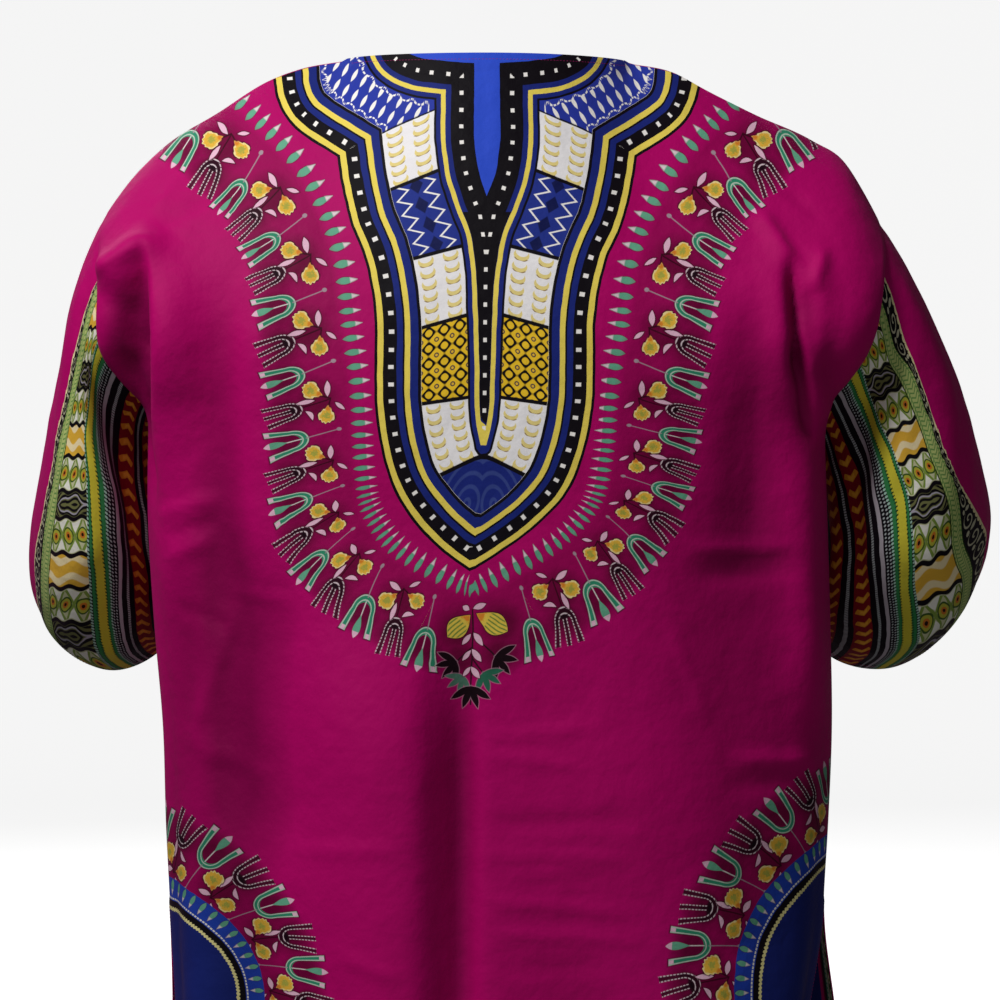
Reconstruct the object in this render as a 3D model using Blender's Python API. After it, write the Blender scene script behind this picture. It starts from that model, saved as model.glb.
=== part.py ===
"""Dashiki shirt in the hollow form of wearing: a back panel, a front panel and two sleeves.

Metres, +Z up. The garment's front faces -Y and its left side is +X. The origin is the
middle of the neck opening at the height of the shoulder seams, where a wearer holds it.
Every piece is a cloth wall: a grid of points on the outer face, worked out from the
sections below, and the same grid moved in by the wall. Sewn edges are 0.3 mm apart.
"""

import math
from collections import namedtuple

import bpy
import numpy as np

# Driving sizes, in metres
WALL = 0.0015
SEAM_GAP = 0.0003
MITRE_LEAST = 0.75
CREASED = 0.20
SMOOTH = 0.70
NECK_HALF = 0.112
NECK_BACK = 0.056
NECK_FRONT = 0.092
NECK_RISE = -0.003
SLIT_DROP = 0.150
SLIT_SHARPNESS = 1.7
HEM_DOWN = 0.868
VENT_DOWN = 0.668
FULLNESS = 2.4
EDGE_CROWDING = 0.85
ARM_REACH = 4.0
SHOULDER_ROUND = 1.8
FOLD_MARGIN = 0.10

# Grid counts
HALF_COLUMNS = 20
ARM_ROWS = 12
BODY_ROWS = 17
RINGS = 15

# Torso sections, one row for each height below the shoulders
Section = namedtuple("Section", "down left right side_y back front")
TORSO = [
    Section(0.2816, 0.2728, 0.2704, 0.020, 0.112, 0.166),
    Section(0.3540, 0.2736, 0.2744, 0.024, 0.110, 0.170),
    Section(0.4560, 0.2670, 0.2780, 0.026, 0.108, 0.170),
    Section(0.5320, 0.2590, 0.2784, 0.026, 0.108, 0.168),
    Section(0.6090, 0.2560, 0.2736, 0.024, 0.110, 0.166),
    Section(0.6730, 0.2520, 0.2680, 0.022, 0.112, 0.166),
    Section(0.7540, 0.2490, 0.2680, 0.020, 0.115, 0.166),
    Section(0.8680, 0.2510, 0.2700, 0.020, 0.117, 0.168),
]

# The shoulder line from the neck out to the top of the armhole
Shoulder = namedtuple("Shoulder", "across drop_left drop_right")
SHOULDER = [
    Shoulder(0.112, 0.001, 0.003),
    Shoulder(0.150, 0.008, 0.011),
    Shoulder(0.174, 0.017, 0.024),
    Shoulder(0.214, 0.042, 0.044),
    Shoulder(0.262, 0.073, 0.066),
    Shoulder(0.287, 0.099, 0.083),
    Shoulder(0.307, 0.128, 0.116),
    Shoulder(0.316, 0.144, 0.134),
]

# Sleeve rings from the armhole to the cuff. out is the ring's outer point, in its inner
# one, y is how far back each lies, back and front are the half depths, and tilt turns
# the ring's back down as the sleeve bends forward at the elbow.
Ring = namedtuple("Ring", "out_x out_down in_x in_down out_y in_y back front tilt")
LEFT_SLEEVE = [
    Ring(0.3070, 0.1280, 0.2728, 0.2816, 0.000, 0.020, 0.058, 0.062, 0),
    Ring(0.3235, 0.1640, 0.2750, 0.3050, -0.006, -0.016, 0.066, 0.066, 0),
    Ring(0.3360, 0.2040, 0.2725, 0.3300, -0.014, -0.029, 0.072, 0.068, 0),
    Ring(0.3440, 0.2500, 0.2705, 0.3520, -0.024, -0.035, 0.076, 0.070, 0),
    Ring(0.3540, 0.2980, 0.2690, 0.3710, -0.032, -0.037, 0.077, 0.070, 2),
    Ring(0.3620, 0.3320, 0.2680, 0.3880, -0.036, -0.038, 0.076, 0.067, 12),
    Ring(0.3690, 0.3620, 0.2670, 0.4030, -0.045, -0.044, 0.073, 0.063, 27),
    Ring(0.3740, 0.3890, 0.2650, 0.4150, -0.058, -0.056, 0.070, 0.061, 43),
    Ring(0.3760, 0.4110, 0.2620, 0.4230, -0.075, -0.073, 0.067, 0.061, 58),
    Ring(0.3730, 0.4240, 0.2590, 0.4280, -0.094, -0.092, 0.065, 0.062, 71),
    Ring(0.3670, 0.4290, 0.2560, 0.4310, -0.114, -0.112, 0.065, 0.063, 76),
]
RIGHT_SLEEVE = [
    Ring(0.3160, 0.1340, 0.2704, 0.2816, 0.000, 0.020, 0.058, 0.062, 0),
    Ring(0.3360, 0.1660, 0.2755, 0.3050, -0.006, -0.016, 0.067, 0.066, 0),
    Ring(0.3560, 0.2030, 0.2735, 0.3300, -0.014, -0.029, 0.074, 0.069, 0),
    Ring(0.3755, 0.2470, 0.2730, 0.3520, -0.024, -0.035, 0.079, 0.072, 0),
    Ring(0.3900, 0.2920, 0.2735, 0.3710, -0.032, -0.037, 0.081, 0.072, 2),
    Ring(0.4010, 0.3280, 0.2740, 0.3890, -0.036, -0.038, 0.080, 0.069, 12),
    Ring(0.4085, 0.3570, 0.2730, 0.4050, -0.045, -0.044, 0.076, 0.065, 27),
    Ring(0.4095, 0.3820, 0.2710, 0.4180, -0.058, -0.056, 0.072, 0.062, 43),
    Ring(0.4060, 0.4010, 0.2680, 0.4270, -0.075, -0.073, 0.068, 0.062, 58),
    Ring(0.3990, 0.4140, 0.2650, 0.4320, -0.094, -0.092, 0.066, 0.063, 71),
    Ring(0.3910, 0.4220, 0.2620, 0.4350, -0.114, -0.112, 0.066, 0.064, 76),
]

# The armhole seam by the share of the way down it: how far it bows out at each side, and
# its depth to the back and the front as a share of the ring's
Armhole = namedtuple("Armhole", "share bow_left bow_right deep")
ARMHOLE = [
    Armhole(0.00, 0.000, 0.000, 0.00),
    Armhole(0.05, 0.001, 0.001, 0.42),
    Armhole(0.15, 0.005, 0.006, 0.72),
    Armhole(0.30, 0.010, 0.011, 0.94),
    Armhole(0.45, 0.015, 0.015, 1.00),
    Armhole(0.60, 0.021, 0.018, 0.95),
    Armhole(0.73, 0.023, 0.017, 0.78),
    Armhole(0.87, 0.014, 0.010, 0.46),
    Armhole(0.95, 0.006, 0.004, 0.21),
    Armhole(1.00, 0.000, 0.000, 0.00),
]
ARMHOLE_FADE = 0.42
BOW_FADE = 0.65

# Largest folds. A row runs from (x0, down0) to (x1, down1) as seen from behind. in_width
# and out_width are its reach on the right and left of that line, height is its rise.
Fold = namedtuple("Fold", "x0 down0 x1 down1 right_width left_width height")
BACK_FOLDS = [
    Fold(0.252, 0.146, 0.300, 0.190, 0.016, 0.014, 0.009),
    Fold(0.281, 0.185, 0.283, 0.275, 0.015, 0.015, -0.009),
    Fold(0.240, 0.170, 0.246, 0.440, 0.022, 0.018, 0.007),
    Fold(0.205, 0.380, 0.200, 0.620, 0.026, 0.024, -0.009),
    Fold(0.100, 0.420, 0.085, 0.868, 0.040, 0.050, 0.008),
    Fold(0.018, 0.480, 0.016, 0.900, 0.014, 0.030, 0.010),
    Fold(-0.025, 0.520, -0.030, 0.900, 0.026, 0.018, -0.007),
    Fold(-0.250, 0.186, -0.266, 0.275, 0.014, 0.014, -0.010),
    Fold(-0.278, 0.172, -0.262, 0.222, 0.011, 0.011, -0.005),
    Fold(-0.268, 0.150, -0.256, 0.206, 0.009, 0.009, 0.006),
    Fold(-0.246, 0.300, -0.252, 0.520, 0.014, 0.016, 0.007),
    Fold(-0.150, 0.560, -0.160, 0.880, 0.034, 0.030, 0.008),
    Fold(0.190, 0.640, 0.186, 0.900, 0.022, 0.026, 0.008),
]
FRONT_FOLDS = [
    Fold(0.276, 0.185, 0.278, 0.280, 0.016, 0.016, -0.008),
    Fold(-0.258, 0.190, -0.268, 0.280, 0.016, 0.016, -0.008),
    Fold(0.215, 0.200, 0.225, 0.480, 0.024, 0.020, 0.008),
    Fold(-0.205, 0.210, -0.222, 0.500, 0.022, 0.022, 0.007),
    Fold(0.130, 0.420, 0.140, 0.900, 0.036, 0.040, 0.009),
    Fold(-0.110, 0.440, -0.120, 0.900, 0.040, 0.034, 0.008),
    Fold(0.030, 0.480, 0.035, 0.900, 0.026, 0.030, -0.007),
    Fold(-0.200, 0.560, -0.205, 0.900, 0.024, 0.022, -0.007),
]

# Folds of the sleeves: turn is the angle round the sleeve from its outer line in degrees,
# along runs from the armhole at 0 to the cuff at 1.
Crease = namedtuple("Crease", "turn0 along0 turn1 along1 wide long height")
LEFT_CREASES = [
    Crease(40, 0.10, 95, 0.75, 16, 0.30, 0.004),
    Crease(150, 0.25, 140, 0.62, 14, 0.16, -0.005),
    Crease(250, 0.52, 300, 0.62, 30, 0.07, -0.003),
]
RIGHT_CREASES = [
    Crease(35, 0.12, 85, 0.70, 16, 0.30, 0.004),
    Crease(145, 0.22, 132, 0.60, 14, 0.16, -0.005),
    Crease(255, 0.50, 295, 0.62, 30, 0.07, -0.003),
]

# The back edge draws in and the front edge swings out below the vents, by side
Vent = namedtuple("Vent", "back_in back_y front_out front_y")
LEFT_VENT = Vent(0.004, 0.010, 0.002, 0.016)
RIGHT_VENT = Vent(0.004, 0.012, 0.013, 0.018)
VENT_REACH = 0.45
VENT_SPREAD = 0.13

# The hem's free waves
Wave = namedtuple("Wave", "count phase height")
HEM_WAVES = [Wave(3.0, 0.4, 0.006), Wave(5.0, 1.9, 0.004)]
HEM_WAVE_START = 0.50

CLOTH = (0.32, 0.0, 0.145, 1.0)
CLOTH_ROUGHNESS = 0.72


def smooth_curve(places, values, at):
    """A curve through the values, with slopes taken from their neighbours."""
    places = np.asarray(places, float)
    values = np.asarray(values, float)
    slopes = np.gradient(values, places)
    at = np.clip(at, places[0], places[-1])
    left = np.clip(np.searchsorted(places, at) - 1, 0, len(places) - 2)
    span = places[left + 1] - places[left]
    s = (at - places[left]) / span
    keep = (1 + 2 * s) * (1 - s) ** 2 * values[left]
    reach = s * s * (3 - 2 * s) * values[left + 1]
    rise = s * (1 - s) ** 2 * span * slopes[left]
    fall = s * s * (s - 1) * span * slopes[left + 1]
    return keep + reach + rise + fall


def column(rows, name, at, key):
    return smooth_curve([getattr(r, key) for r in rows], [getattr(r, name) for r in rows], at)


def ease(low, high, value):
    s = np.clip((value - low) / (high - low), 0, 1)
    return s * s * (3 - 2 * s)


def unit(vectors):
    return vectors / np.maximum(np.linalg.norm(vectors, axis=-1, keepdims=True), 1e-12)


def across_share(u):
    """Share of the half width at column u, with the columns closer together at the sides."""
    s = np.abs(u)
    return (1 - EDGE_CROWDING) * s + EDGE_CROWDING * np.sin(math.pi * s / 2)


def ring_points(rows, turn, along, bow_name):
    """Points of a sleeve: turn in radians from its outer line, by the back, and along 0 to 1."""
    at = along * (len(rows) - 1)
    index = np.arange(len(rows))
    part = {n: smooth_curve(index, [getattr(r, n) for r in rows], at) for n in Ring._fields}
    outer = np.stack([part["out_x"], part["out_y"], -part["out_down"]], -1)
    inner = np.stack([part["in_x"], part["in_y"], -part["in_down"]], -1)
    tilt = np.radians(part["tilt"])
    backward = np.stack([0 * tilt, np.cos(tilt), -np.sin(tilt)], -1)
    sewn = ease(ARMHOLE_FADE, 0, along)
    half_turn = np.where(turn > math.pi, turn - 2 * math.pi, turn)
    share = np.abs(half_turn) / math.pi
    deep = column(ARMHOLE, "deep", share, "share") * np.sign(half_turn)
    sine = sewn * deep + (1 - sewn) * np.sin(turn)
    cosine = sewn * (1 - 2 * share) + (1 - sewn) * np.cos(turn)
    depth = np.where(half_turn > 0, part["back"], part["front"])
    points = (outer + inner) / 2 + (outer - inner) / 2 * cosine[..., None]
    points = points + backward * (depth * sine)[..., None]
    points[..., 0] += column(ARMHOLE, bow_name, share, "share") * ease(BOW_FADE, 0, along)
    return points


def sleeve_side(left):
    return (LEFT_SLEEVE, "bow_left", 1.0) if left else (RIGHT_SLEEVE, "bow_right", -1.0)


def armhole(left, down_share, face):
    """The armhole seam's back or front half, from its top at 0 to the underarm at 1."""
    rows, bow_name, sign = sleeve_side(left)
    turn = face * math.pi * down_share
    return ring_points(rows, turn, np.zeros_like(turn), bow_name) * [sign, 1, 1]


def neck_edge(x, face):
    """(y, z) of the neckline at x: flat at the back, with the open slit at the front."""
    share = np.clip(np.abs(x) / NECK_HALF, 0, 1)
    corner = np.where(x > 0, SHOULDER[0].drop_left, SHOULDER[0].drop_right)
    if face > 0:
        return NECK_BACK * (1 - share**2) ** 0.7, NECK_RISE * (1 - share**2) - corner * share**2
    drop = SLIT_DROP * (1 - share) ** SLIT_SHARPNESS
    return -NECK_FRONT * (1 - share**2) ** 0.7, -drop - corner * share


def top_edge(x, face):
    """(y, z) of a panel's top edge at x, neckline and shoulder."""
    y, z = neck_edge(x, face)
    left = column(SHOULDER, "drop_left", np.abs(x), "across")
    right = column(SHOULDER, "drop_right", np.abs(x), "across")
    past = np.abs(x) >= NECK_HALF - 1e-6
    return np.where(past, 0, y), np.where(past, -np.where(x > 0, left, right), z)


def torso_point(u, down, face):
    q = across_share(u)
    side = {n: column(TORSO, n, down, "down") for n in Section._fields}
    half = np.where(u > 0, side["left"], side["right"])
    depth = side["back"] if face > 0 else side["front"]
    y = side["side_y"] + face * depth * np.clip(1 - q**FULLNESS, 0, 1) ** (1 / FULLNESS)
    return np.stack([np.sign(u) * half * q, y, -down], -1)


def upper_point(u, down_share, face):
    """Between the top edge and the underarm, bounded at each side by the armhole seam."""
    q = across_share(u)
    rise = 1 - (1 - down_share) ** SHOULDER_ROUND
    base = torso_point(u, np.full_like(u, TORSO[0].down), face)
    points = np.zeros(u.shape + (3,))
    for left in (True, False):
        sign = 1 if left else -1
        seam = armhole(left, down_share, face)
        top = armhole(left, np.zeros_like(down_share), face)
        under = armhole(left, np.ones_like(down_share), face)
        y0, z0 = top_edge(sign * q * np.abs(top[..., 0]), face)
        x = q * seam[..., 0]
        lift = seam[..., 2] - (1 - down_share) * top[..., 2] - down_share * under[..., 2]
        z = (1 - down_share) * z0 + down_share * base[..., 2] + q * lift
        reach = seam[..., 1] - (1 - rise) * top[..., 1] - rise * under[..., 1]
        y = (1 - rise) * y0 + rise * base[..., 1] + q**ARM_REACH * reach
        here = (u > 0) == left
        points[here] = np.stack([x, y, z], -1)[here]
    return points


def fold_height(points, folds):
    x, down = points[..., 0], -points[..., 2]
    total = np.zeros_like(x)
    for f in folds:
        along = np.array([f.x1 - f.x0, f.down1 - f.down0])
        length = np.linalg.norm(along)
        along = along / length
        step_x, step_down = x - f.x0, down - f.down0
        s = (step_x * along[0] + step_down * along[1]) / length
        away = step_x * along[1] - step_down * along[0]
        width = np.where(away > 0, f.left_width, f.right_width)
        ends = ease(-0.12, 0.25, s) * ease(1.12, 0.75, s)
        total += f.height * np.exp(-((away / width) ** 2)) * ends
    return total


def grid_normals(points, outward, closed):
    """Unit normals of a grid of points, turned to the side that outward points to."""
    if closed:
        around = np.roll(points, -1, 1) - np.roll(points, 1, 1)
    else:
        around = np.gradient(points, axis=1)
    normals = unit(np.cross(np.gradient(points, axis=0), around))
    return normals * np.sign((normals * outward).sum(-1).mean())


def panel_grid(face):
    """Outer points of a panel, rows from the top edge down and columns from right to left."""
    u = np.linspace(-1, 1, 2 * HALF_COLUMNS + 1)
    upper = np.linspace(0, 1, ARM_ROWS + 1)
    lower = np.linspace(0, 1, BODY_ROWS + 1)[1:]
    grid_u, share = np.meshgrid(u, upper)
    top = upper_point(grid_u, share, face)
    grid_u, share = np.meshgrid(u, lower)
    below = torso_point(grid_u, TORSO[0].down + share * (HEM_DOWN - TORSO[0].down), face)
    points = np.concatenate([top, below])
    normals = grid_normals(points, np.array([0, face, 0]), False)
    every_u = np.broadcast_to(np.abs(u), points.shape[:2])
    folds = fold_height(points, BACK_FOLDS if face > 0 else FRONT_FOLDS)
    down = -points[..., 2]
    free = ease(HEM_WAVE_START, HEM_DOWN, down)
    turn = math.pi * np.broadcast_to(u, points.shape[:2])
    for wave in HEM_WAVES:
        folds = folds + wave.height * free * np.sin(wave.count * turn + wave.phase * face)
    margin = ease(1, 1 - FOLD_MARGIN, every_u) * ease(0, 0.02, down + np.abs(points[..., 0]) / 9)
    edge_rows = np.arange(points.shape[0])[:, None] > 0
    points = points + normals * (folds * margin * edge_rows)[..., None]
    return open_vents(points, every_u, face)


def open_vents(points, every_u, face):
    below = ease(VENT_DOWN, VENT_DOWN + VENT_SPREAD, -points[..., 2])
    pull = below * ease(1 - VENT_REACH, 1, every_u)
    for left, vent in ((True, LEFT_VENT), (False, RIGHT_VENT)):
        sign = 1 if left else -1
        side = np.where(points[..., 0] * sign > 0, pull, 0)
        if face > 0:
            points[..., 0] -= sign * vent.back_in * side
            points[..., 1] += vent.back_y * side
        else:
            points[..., 0] += sign * vent.front_out * side
            points[..., 1] -= vent.front_y * side
    return points


def sleeve_grid(left):
    rows, bow_name, sign = sleeve_side(left)
    turns = np.linspace(0, 2 * math.pi, 2 * ARM_ROWS, endpoint=False)
    along = np.linspace(0, 1, RINGS + 1)
    turn, share = np.meshgrid(turns, along)
    points = ring_points(rows, turn, share, bow_name)
    middle = points.mean(1, keepdims=True)
    outward = points - middle
    normals = grid_normals(points, outward, True)
    height = np.zeros_like(turn)
    for c in LEFT_CREASES if left else RIGHT_CREASES:
        steps = np.linspace(0, 1, 9)
        for s in steps:
            off_turn = (np.degrees(turn) - c.turn0 - s * (c.turn1 - c.turn0)) / c.wide
            off_along = (share - c.along0 - s * (c.along1 - c.along0)) / c.long
            spot = np.exp(-(off_turn**2) - off_along**2)
            height += c.height * spot / len(steps) * 3
    points = points + normals * (height * ease(0, 0.12, share))[..., None]
    return points * [sign, 1, 1]


def sewn_corners(grids):
    """(closed, corners) for each seam: each corner lists the (piece, row, column) that meet there."""
    last = 2 * HALF_COLUMNS
    around = 2 * ARM_ROWS
    seams = []
    for left in (True, False):
        edge = last if left else 0
        sleeve = "left" if left else "right"
        reach = np.abs(grids["back"][0, :, 0])
        half = range(HALF_COLUMNS, last + 1) if left else range(HALF_COLUMNS + 1)
        columns = [j for j in half if reach[j] >= NECK_HALF - 0.004]
        seams.append((False, [[("back", 0, j), ("front", 0, j)] for j in columns]))
        armhole_seam = []
        for k in range(around):
            corner = [(sleeve, 0, k)]
            if k <= ARM_ROWS:
                corner.append(("back", k, edge))
            if k == 0 or k >= ARM_ROWS:
                corner.append(("front", (around - k) % around, edge))
            armhole_seam.append(corner)
        seams.append((True, armhole_seam))
        downs = -grids["back"][:, edge, 2]
        rows = [i for i in range(ARM_ROWS, len(downs)) if downs[i] < VENT_DOWN]
        seams.append((False, [[("back", i, edge), ("front", i, edge)] for i in rows]))
    return seams


def corner_sides(group, normals):
    """Outer directions of the body and the sleeve at a corner, and how far they agree."""
    body = [normals[n][i, j] for n, i, j in group if n in ("back", "front")]
    sleeve = [normals[n][i, j] for n, i, j in group if n in ("left", "right")]
    body = unit(np.sum(body, axis=0))
    if not sleeve:
        return body, body, 1.0
    sleeve = unit(np.sum(sleeve, axis=0))
    return body, sleeve, float(ease(CREASED, SMOOTH, body @ sleeve))


def inner_neighbour(grid, vertex, corner):
    """The point one step inside the piece from a sewn edge."""
    name, i, j = vertex
    others = [n for n, _, _ in corner if n != name]
    along_side = name in ("back", "front") and (i > 0 or "left" in others or "right" in others)
    if along_side:
        return grid[i, j - 1 if j else 1]
    return grid[1, j]


def place_edges(grids, normals):
    """Mitre directions and seam shifts of every vertex.

    Where the body and the sleeve lie in line, both take the direction between them, and
    their edges face each other. In the crease under the arm each keeps its own.
    """
    mitre = {name: n.copy() for name, n in normals.items()}
    shift = {name: np.zeros_like(n) for name, n in normals.items()}
    seams = sewn_corners(grids)
    meeting = {}
    for _, corners in seams:
        for corner in corners:
            group = set(corner)
            for vertex in corner:
                group |= meeting.get(vertex, set())
            for vertex in group:
                meeting[vertex] = group
    for (name, i, j), group in meeting.items():
        body, sleeve, agree = corner_sides(group, normals)
        own = body if name in ("back", "front") else sleeve
        mitre[name][i, j] = unit(agree * unit(body + sleeve) + (1 - agree) * own)
    for closed, corners in seams:
        line = np.array([grids[n][i, j] for n, i, j in (corner[0] for corner in corners)])
        ahead = np.roll(line, -1, 0) - np.roll(line, 1, 0) if closed else np.gradient(line, axis=0)
        for corner, tangent in zip(corners, unit(ahead)):
            body, sleeve, agree = corner_sides(corner, normals)
            for vertex in corner:
                name, i, j = vertex
                across = unit(np.cross(unit(body + sleeve), tangent))
                inside = inner_neighbour(grids[name], vertex, corner) - grids[name][i, j]
                across = across * np.sign(across @ inside)
                apart = sleeve - body if name in ("back", "front") else body - sleeve
                move = unit(agree * across + (1 - agree) * unit(apart))
                shift[name][i, j] += move * SEAM_GAP / 2
    return mitre, shift


def add_wall(name, outer, mitre, own, closed, colour):
    """A closed solid between the outer grid and the same grid moved in by the wall."""
    reach = WALL / np.clip((mitre * own).sum(-1, keepdims=True), MITRE_LEAST, 1)
    inner = outer - mitre * reach
    rows, columns = outer.shape[:2]
    count = rows * columns
    points = np.concatenate([outer.reshape(-1, 3), inner.reshape(-1, 3)])
    faces = []
    wide = columns if closed else columns - 1
    for i in range(rows - 1):
        for j in range(wide):
            k = (j + 1) % columns
            a, b = i * columns + j, i * columns + k
            c, d = (i + 1) * columns + k, (i + 1) * columns + j
            for tri in ((a, d, b), (b, d, c)):
                faces.append(tri)
                faces.append(tuple(count + v for v in reversed(tri)))
    rim = []
    top = list(range(columns))
    bottom = [(rows - 1) * columns + j for j in range(columns)]
    if closed:
        rim.append(top + top[:1])
        rim.append(bottom[::-1] + bottom[-1:])
    else:
        right = [i * columns + columns - 1 for i in range(rows)]
        left = [i * columns for i in range(rows)]
        rim.append(top[:-1] + right[:-1] + bottom[:0:-1] + left[:0:-1] + top[:1])
    for loop in rim:
        for a, b in zip(loop, loop[1:]):
            faces.append((a, b, count + a))
            faces.append((b, count + b, count + a))
    mesh = bpy.data.meshes.new(name)
    mesh.from_pydata(points.tolist(), [], faces)
    volume = 0.0
    for tri in faces:
        p, q, r = points[list(tri)]
        volume += p @ np.cross(q, r) / 6
    if volume < 0:
        mesh.flip_normals()
    mesh.shade_smooth()
    mesh.set_sharp_from_angle(angle=math.radians(50))
    material = bpy.data.materials.new(name)
    material.use_nodes = True
    shader = material.node_tree.nodes["Principled BSDF"]
    shader.inputs["Base Color"].default_value = colour
    shader.inputs["Roughness"].default_value = CLOTH_ROUGHNESS
    shader.inputs["Metallic"].default_value = 0.0
    mesh.materials.append(material)
    piece = bpy.data.objects.new(name, mesh)
    bpy.context.scene.collection.objects.link(piece)
    return piece


def main():
    for old in list(bpy.data.objects):
        bpy.data.objects.remove(old)
    grids = {
        "back": panel_grid(1),
        "front": panel_grid(-1),
        "left": sleeve_grid(True),
        "right": sleeve_grid(False),
    }
    normals = {
        "back": grid_normals(grids["back"], np.array([0, 1, 0]), False),
        "front": grid_normals(grids["front"], np.array([0, -1, 0]), False),
    }
    for name in ("left", "right"):
        outward = grids[name] - grids[name].mean(1, keepdims=True)
        normals[name] = grid_normals(grids[name], outward, True)
    mitre, shift = place_edges(grids, normals)
    garment = bpy.data.objects.new("dashiki", None)
    bpy.context.scene.collection.objects.link(garment)
    names = {
        "back": "back_panel",
        "front": "front_panel",
        "left": "sleeve_left",
        "right": "sleeve_right",
    }
    for key, name in names.items():
        closed = key in ("left", "right")
        outer = grids[key] + shift[key]
        piece = add_wall(name, outer, mitre[key], normals[key], closed, CLOTH)
        piece.parent = garment


main()
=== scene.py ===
# %% [markdown]
# # A dashiki shirt, cell by cell
# A dashiki is a loose pull-over shirt cut from four flat pieces of printed cotton: a back, a
# front and two wide sleeves. This lesson dresses a plain measured frame of that shirt. It
# could be draped by simulation, but a worn shirt keeps a shape that can be written down as
# a few sections, so every surface here is worked out from small tables, and the print is
# drawn by arithmetic in the materials.

# %% Load the measured frame
import math
from collections import namedtuple

import bpy
import numpy as np
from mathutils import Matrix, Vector


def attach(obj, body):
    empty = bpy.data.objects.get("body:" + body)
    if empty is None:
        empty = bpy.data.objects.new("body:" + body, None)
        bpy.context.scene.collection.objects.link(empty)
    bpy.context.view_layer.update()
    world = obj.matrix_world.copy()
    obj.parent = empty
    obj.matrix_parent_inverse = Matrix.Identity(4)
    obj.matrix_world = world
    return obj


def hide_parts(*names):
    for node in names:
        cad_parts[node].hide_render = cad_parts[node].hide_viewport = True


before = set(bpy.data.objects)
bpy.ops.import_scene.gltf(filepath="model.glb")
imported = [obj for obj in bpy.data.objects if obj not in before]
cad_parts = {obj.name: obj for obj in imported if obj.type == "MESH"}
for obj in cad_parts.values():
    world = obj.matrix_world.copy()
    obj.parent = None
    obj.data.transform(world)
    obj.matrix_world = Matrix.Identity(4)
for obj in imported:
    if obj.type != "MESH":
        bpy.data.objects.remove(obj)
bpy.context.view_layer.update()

# %% [markdown]
# ## The sections of the worn shirt
# A pattern cutter thinks in half widths and depths at a few heights. The torso has a row for
# each height below the shoulders, the shoulder line has a row for each step out from the
# neck, and a sleeve has a ring for each step from the armhole to the cuff. Everything is in
# metres; the left side of the shirt is +X and its back is +Y.

# %% Tables of sections
def table(row_type, rows):
    """The rows of a table, under the names of its columns."""
    return [row_type(*row) for row in rows]


Section = namedtuple("Section", "down left right side_y back front")
TORSO = table(Section, [
    (0.2816, 0.2688, 0.2674, 0.02, 0.112, 0.166), (0.354, 0.269, 0.2694, 0.024, 0.11, 0.17),
    (0.456, 0.2632, 0.2722, 0.026, 0.108, 0.17), (0.532, 0.2566, 0.2734, 0.026, 0.108, 0.168),
    (0.609, 0.2545, 0.2706, 0.024, 0.11, 0.166), (0.673, 0.2515, 0.2672, 0.022, 0.112, 0.166),
    (0.754, 0.249, 0.268, 0.02, 0.115, 0.166), (0.868, 0.251, 0.27, 0.02, 0.117, 0.168),
])
Shoulder = namedtuple("Shoulder", "across drop_left drop_right")
SHOULDER = table(Shoulder, [
    (0.112, 0.001, 0.003), (0.15, 0.008, 0.011), (0.174, 0.017, 0.024), (0.214, 0.042, 0.044),
    (0.262, 0.073, 0.066), (0.287, 0.099, 0.083), (0.307, 0.128, 0.116), (0.316, 0.144, 0.134),
])
Ring = namedtuple("Ring", "out_x out_down in_x in_down out_y in_y back front tilt")
LEFT_SLEEVE = table(Ring, [
    (0.307, 0.128, 0.2688, 0.2816, 0, 0.02, 0.058, 0.062, 0),
    (0.3235, 0.164, 0.271, 0.305, -0.006, -0.016, 0.066, 0.066, 0),
    (0.336, 0.204, 0.2685, 0.33, -0.014, -0.029, 0.072, 0.068, 0),
    (0.344, 0.25, 0.2665, 0.352, -0.024, -0.035, 0.076, 0.07, 0),
    (0.354, 0.298, 0.265, 0.371, -0.032, -0.037, 0.077, 0.07, 2),
    (0.362, 0.332, 0.264, 0.388, -0.036, -0.038, 0.076, 0.067, 12),
    (0.369, 0.362, 0.263, 0.403, -0.045, -0.044, 0.073, 0.063, 27),
    (0.374, 0.389, 0.261, 0.415, -0.058, -0.056, 0.07, 0.061, 43),
    (0.376, 0.411, 0.258, 0.423, -0.075, -0.073, 0.067, 0.061, 58),
    (0.373, 0.424, 0.255, 0.428, -0.094, -0.092, 0.065, 0.062, 71),
    (0.367, 0.429, 0.252, 0.431, -0.114, -0.112, 0.065, 0.063, 76),
])
RIGHT_SLEEVE = table(Ring, [
    (0.316, 0.134, 0.2674, 0.2816, 0, 0.02, 0.058, 0.062, 0),
    (0.336, 0.166, 0.2702, 0.305, -0.006, -0.016, 0.067, 0.066, 0),
    (0.356, 0.203, 0.2698, 0.33, -0.014, -0.029, 0.074, 0.069, 0),
    (0.3755, 0.247, 0.27, 0.352, -0.024, -0.035, 0.079, 0.072, 0),
    (0.39, 0.292, 0.2705, 0.371, -0.032, -0.037, 0.081, 0.072, 2),
    (0.401, 0.328, 0.271, 0.389, -0.036, -0.038, 0.08, 0.069, 12),
    (0.4085, 0.357, 0.27, 0.405, -0.045, -0.044, 0.076, 0.065, 27),
    (0.4095, 0.382, 0.268, 0.418, -0.058, -0.056, 0.072, 0.062, 43),
    (0.406, 0.401, 0.265, 0.427, -0.075, -0.073, 0.068, 0.062, 58),
    (0.399, 0.414, 0.262, 0.432, -0.094, -0.092, 0.066, 0.063, 71),
    (0.391, 0.422, 0.259, 0.435, -0.114, -0.112, 0.066, 0.064, 76),
])
Armhole = namedtuple("Armhole", "share bow_left bow_right deep")
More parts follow.
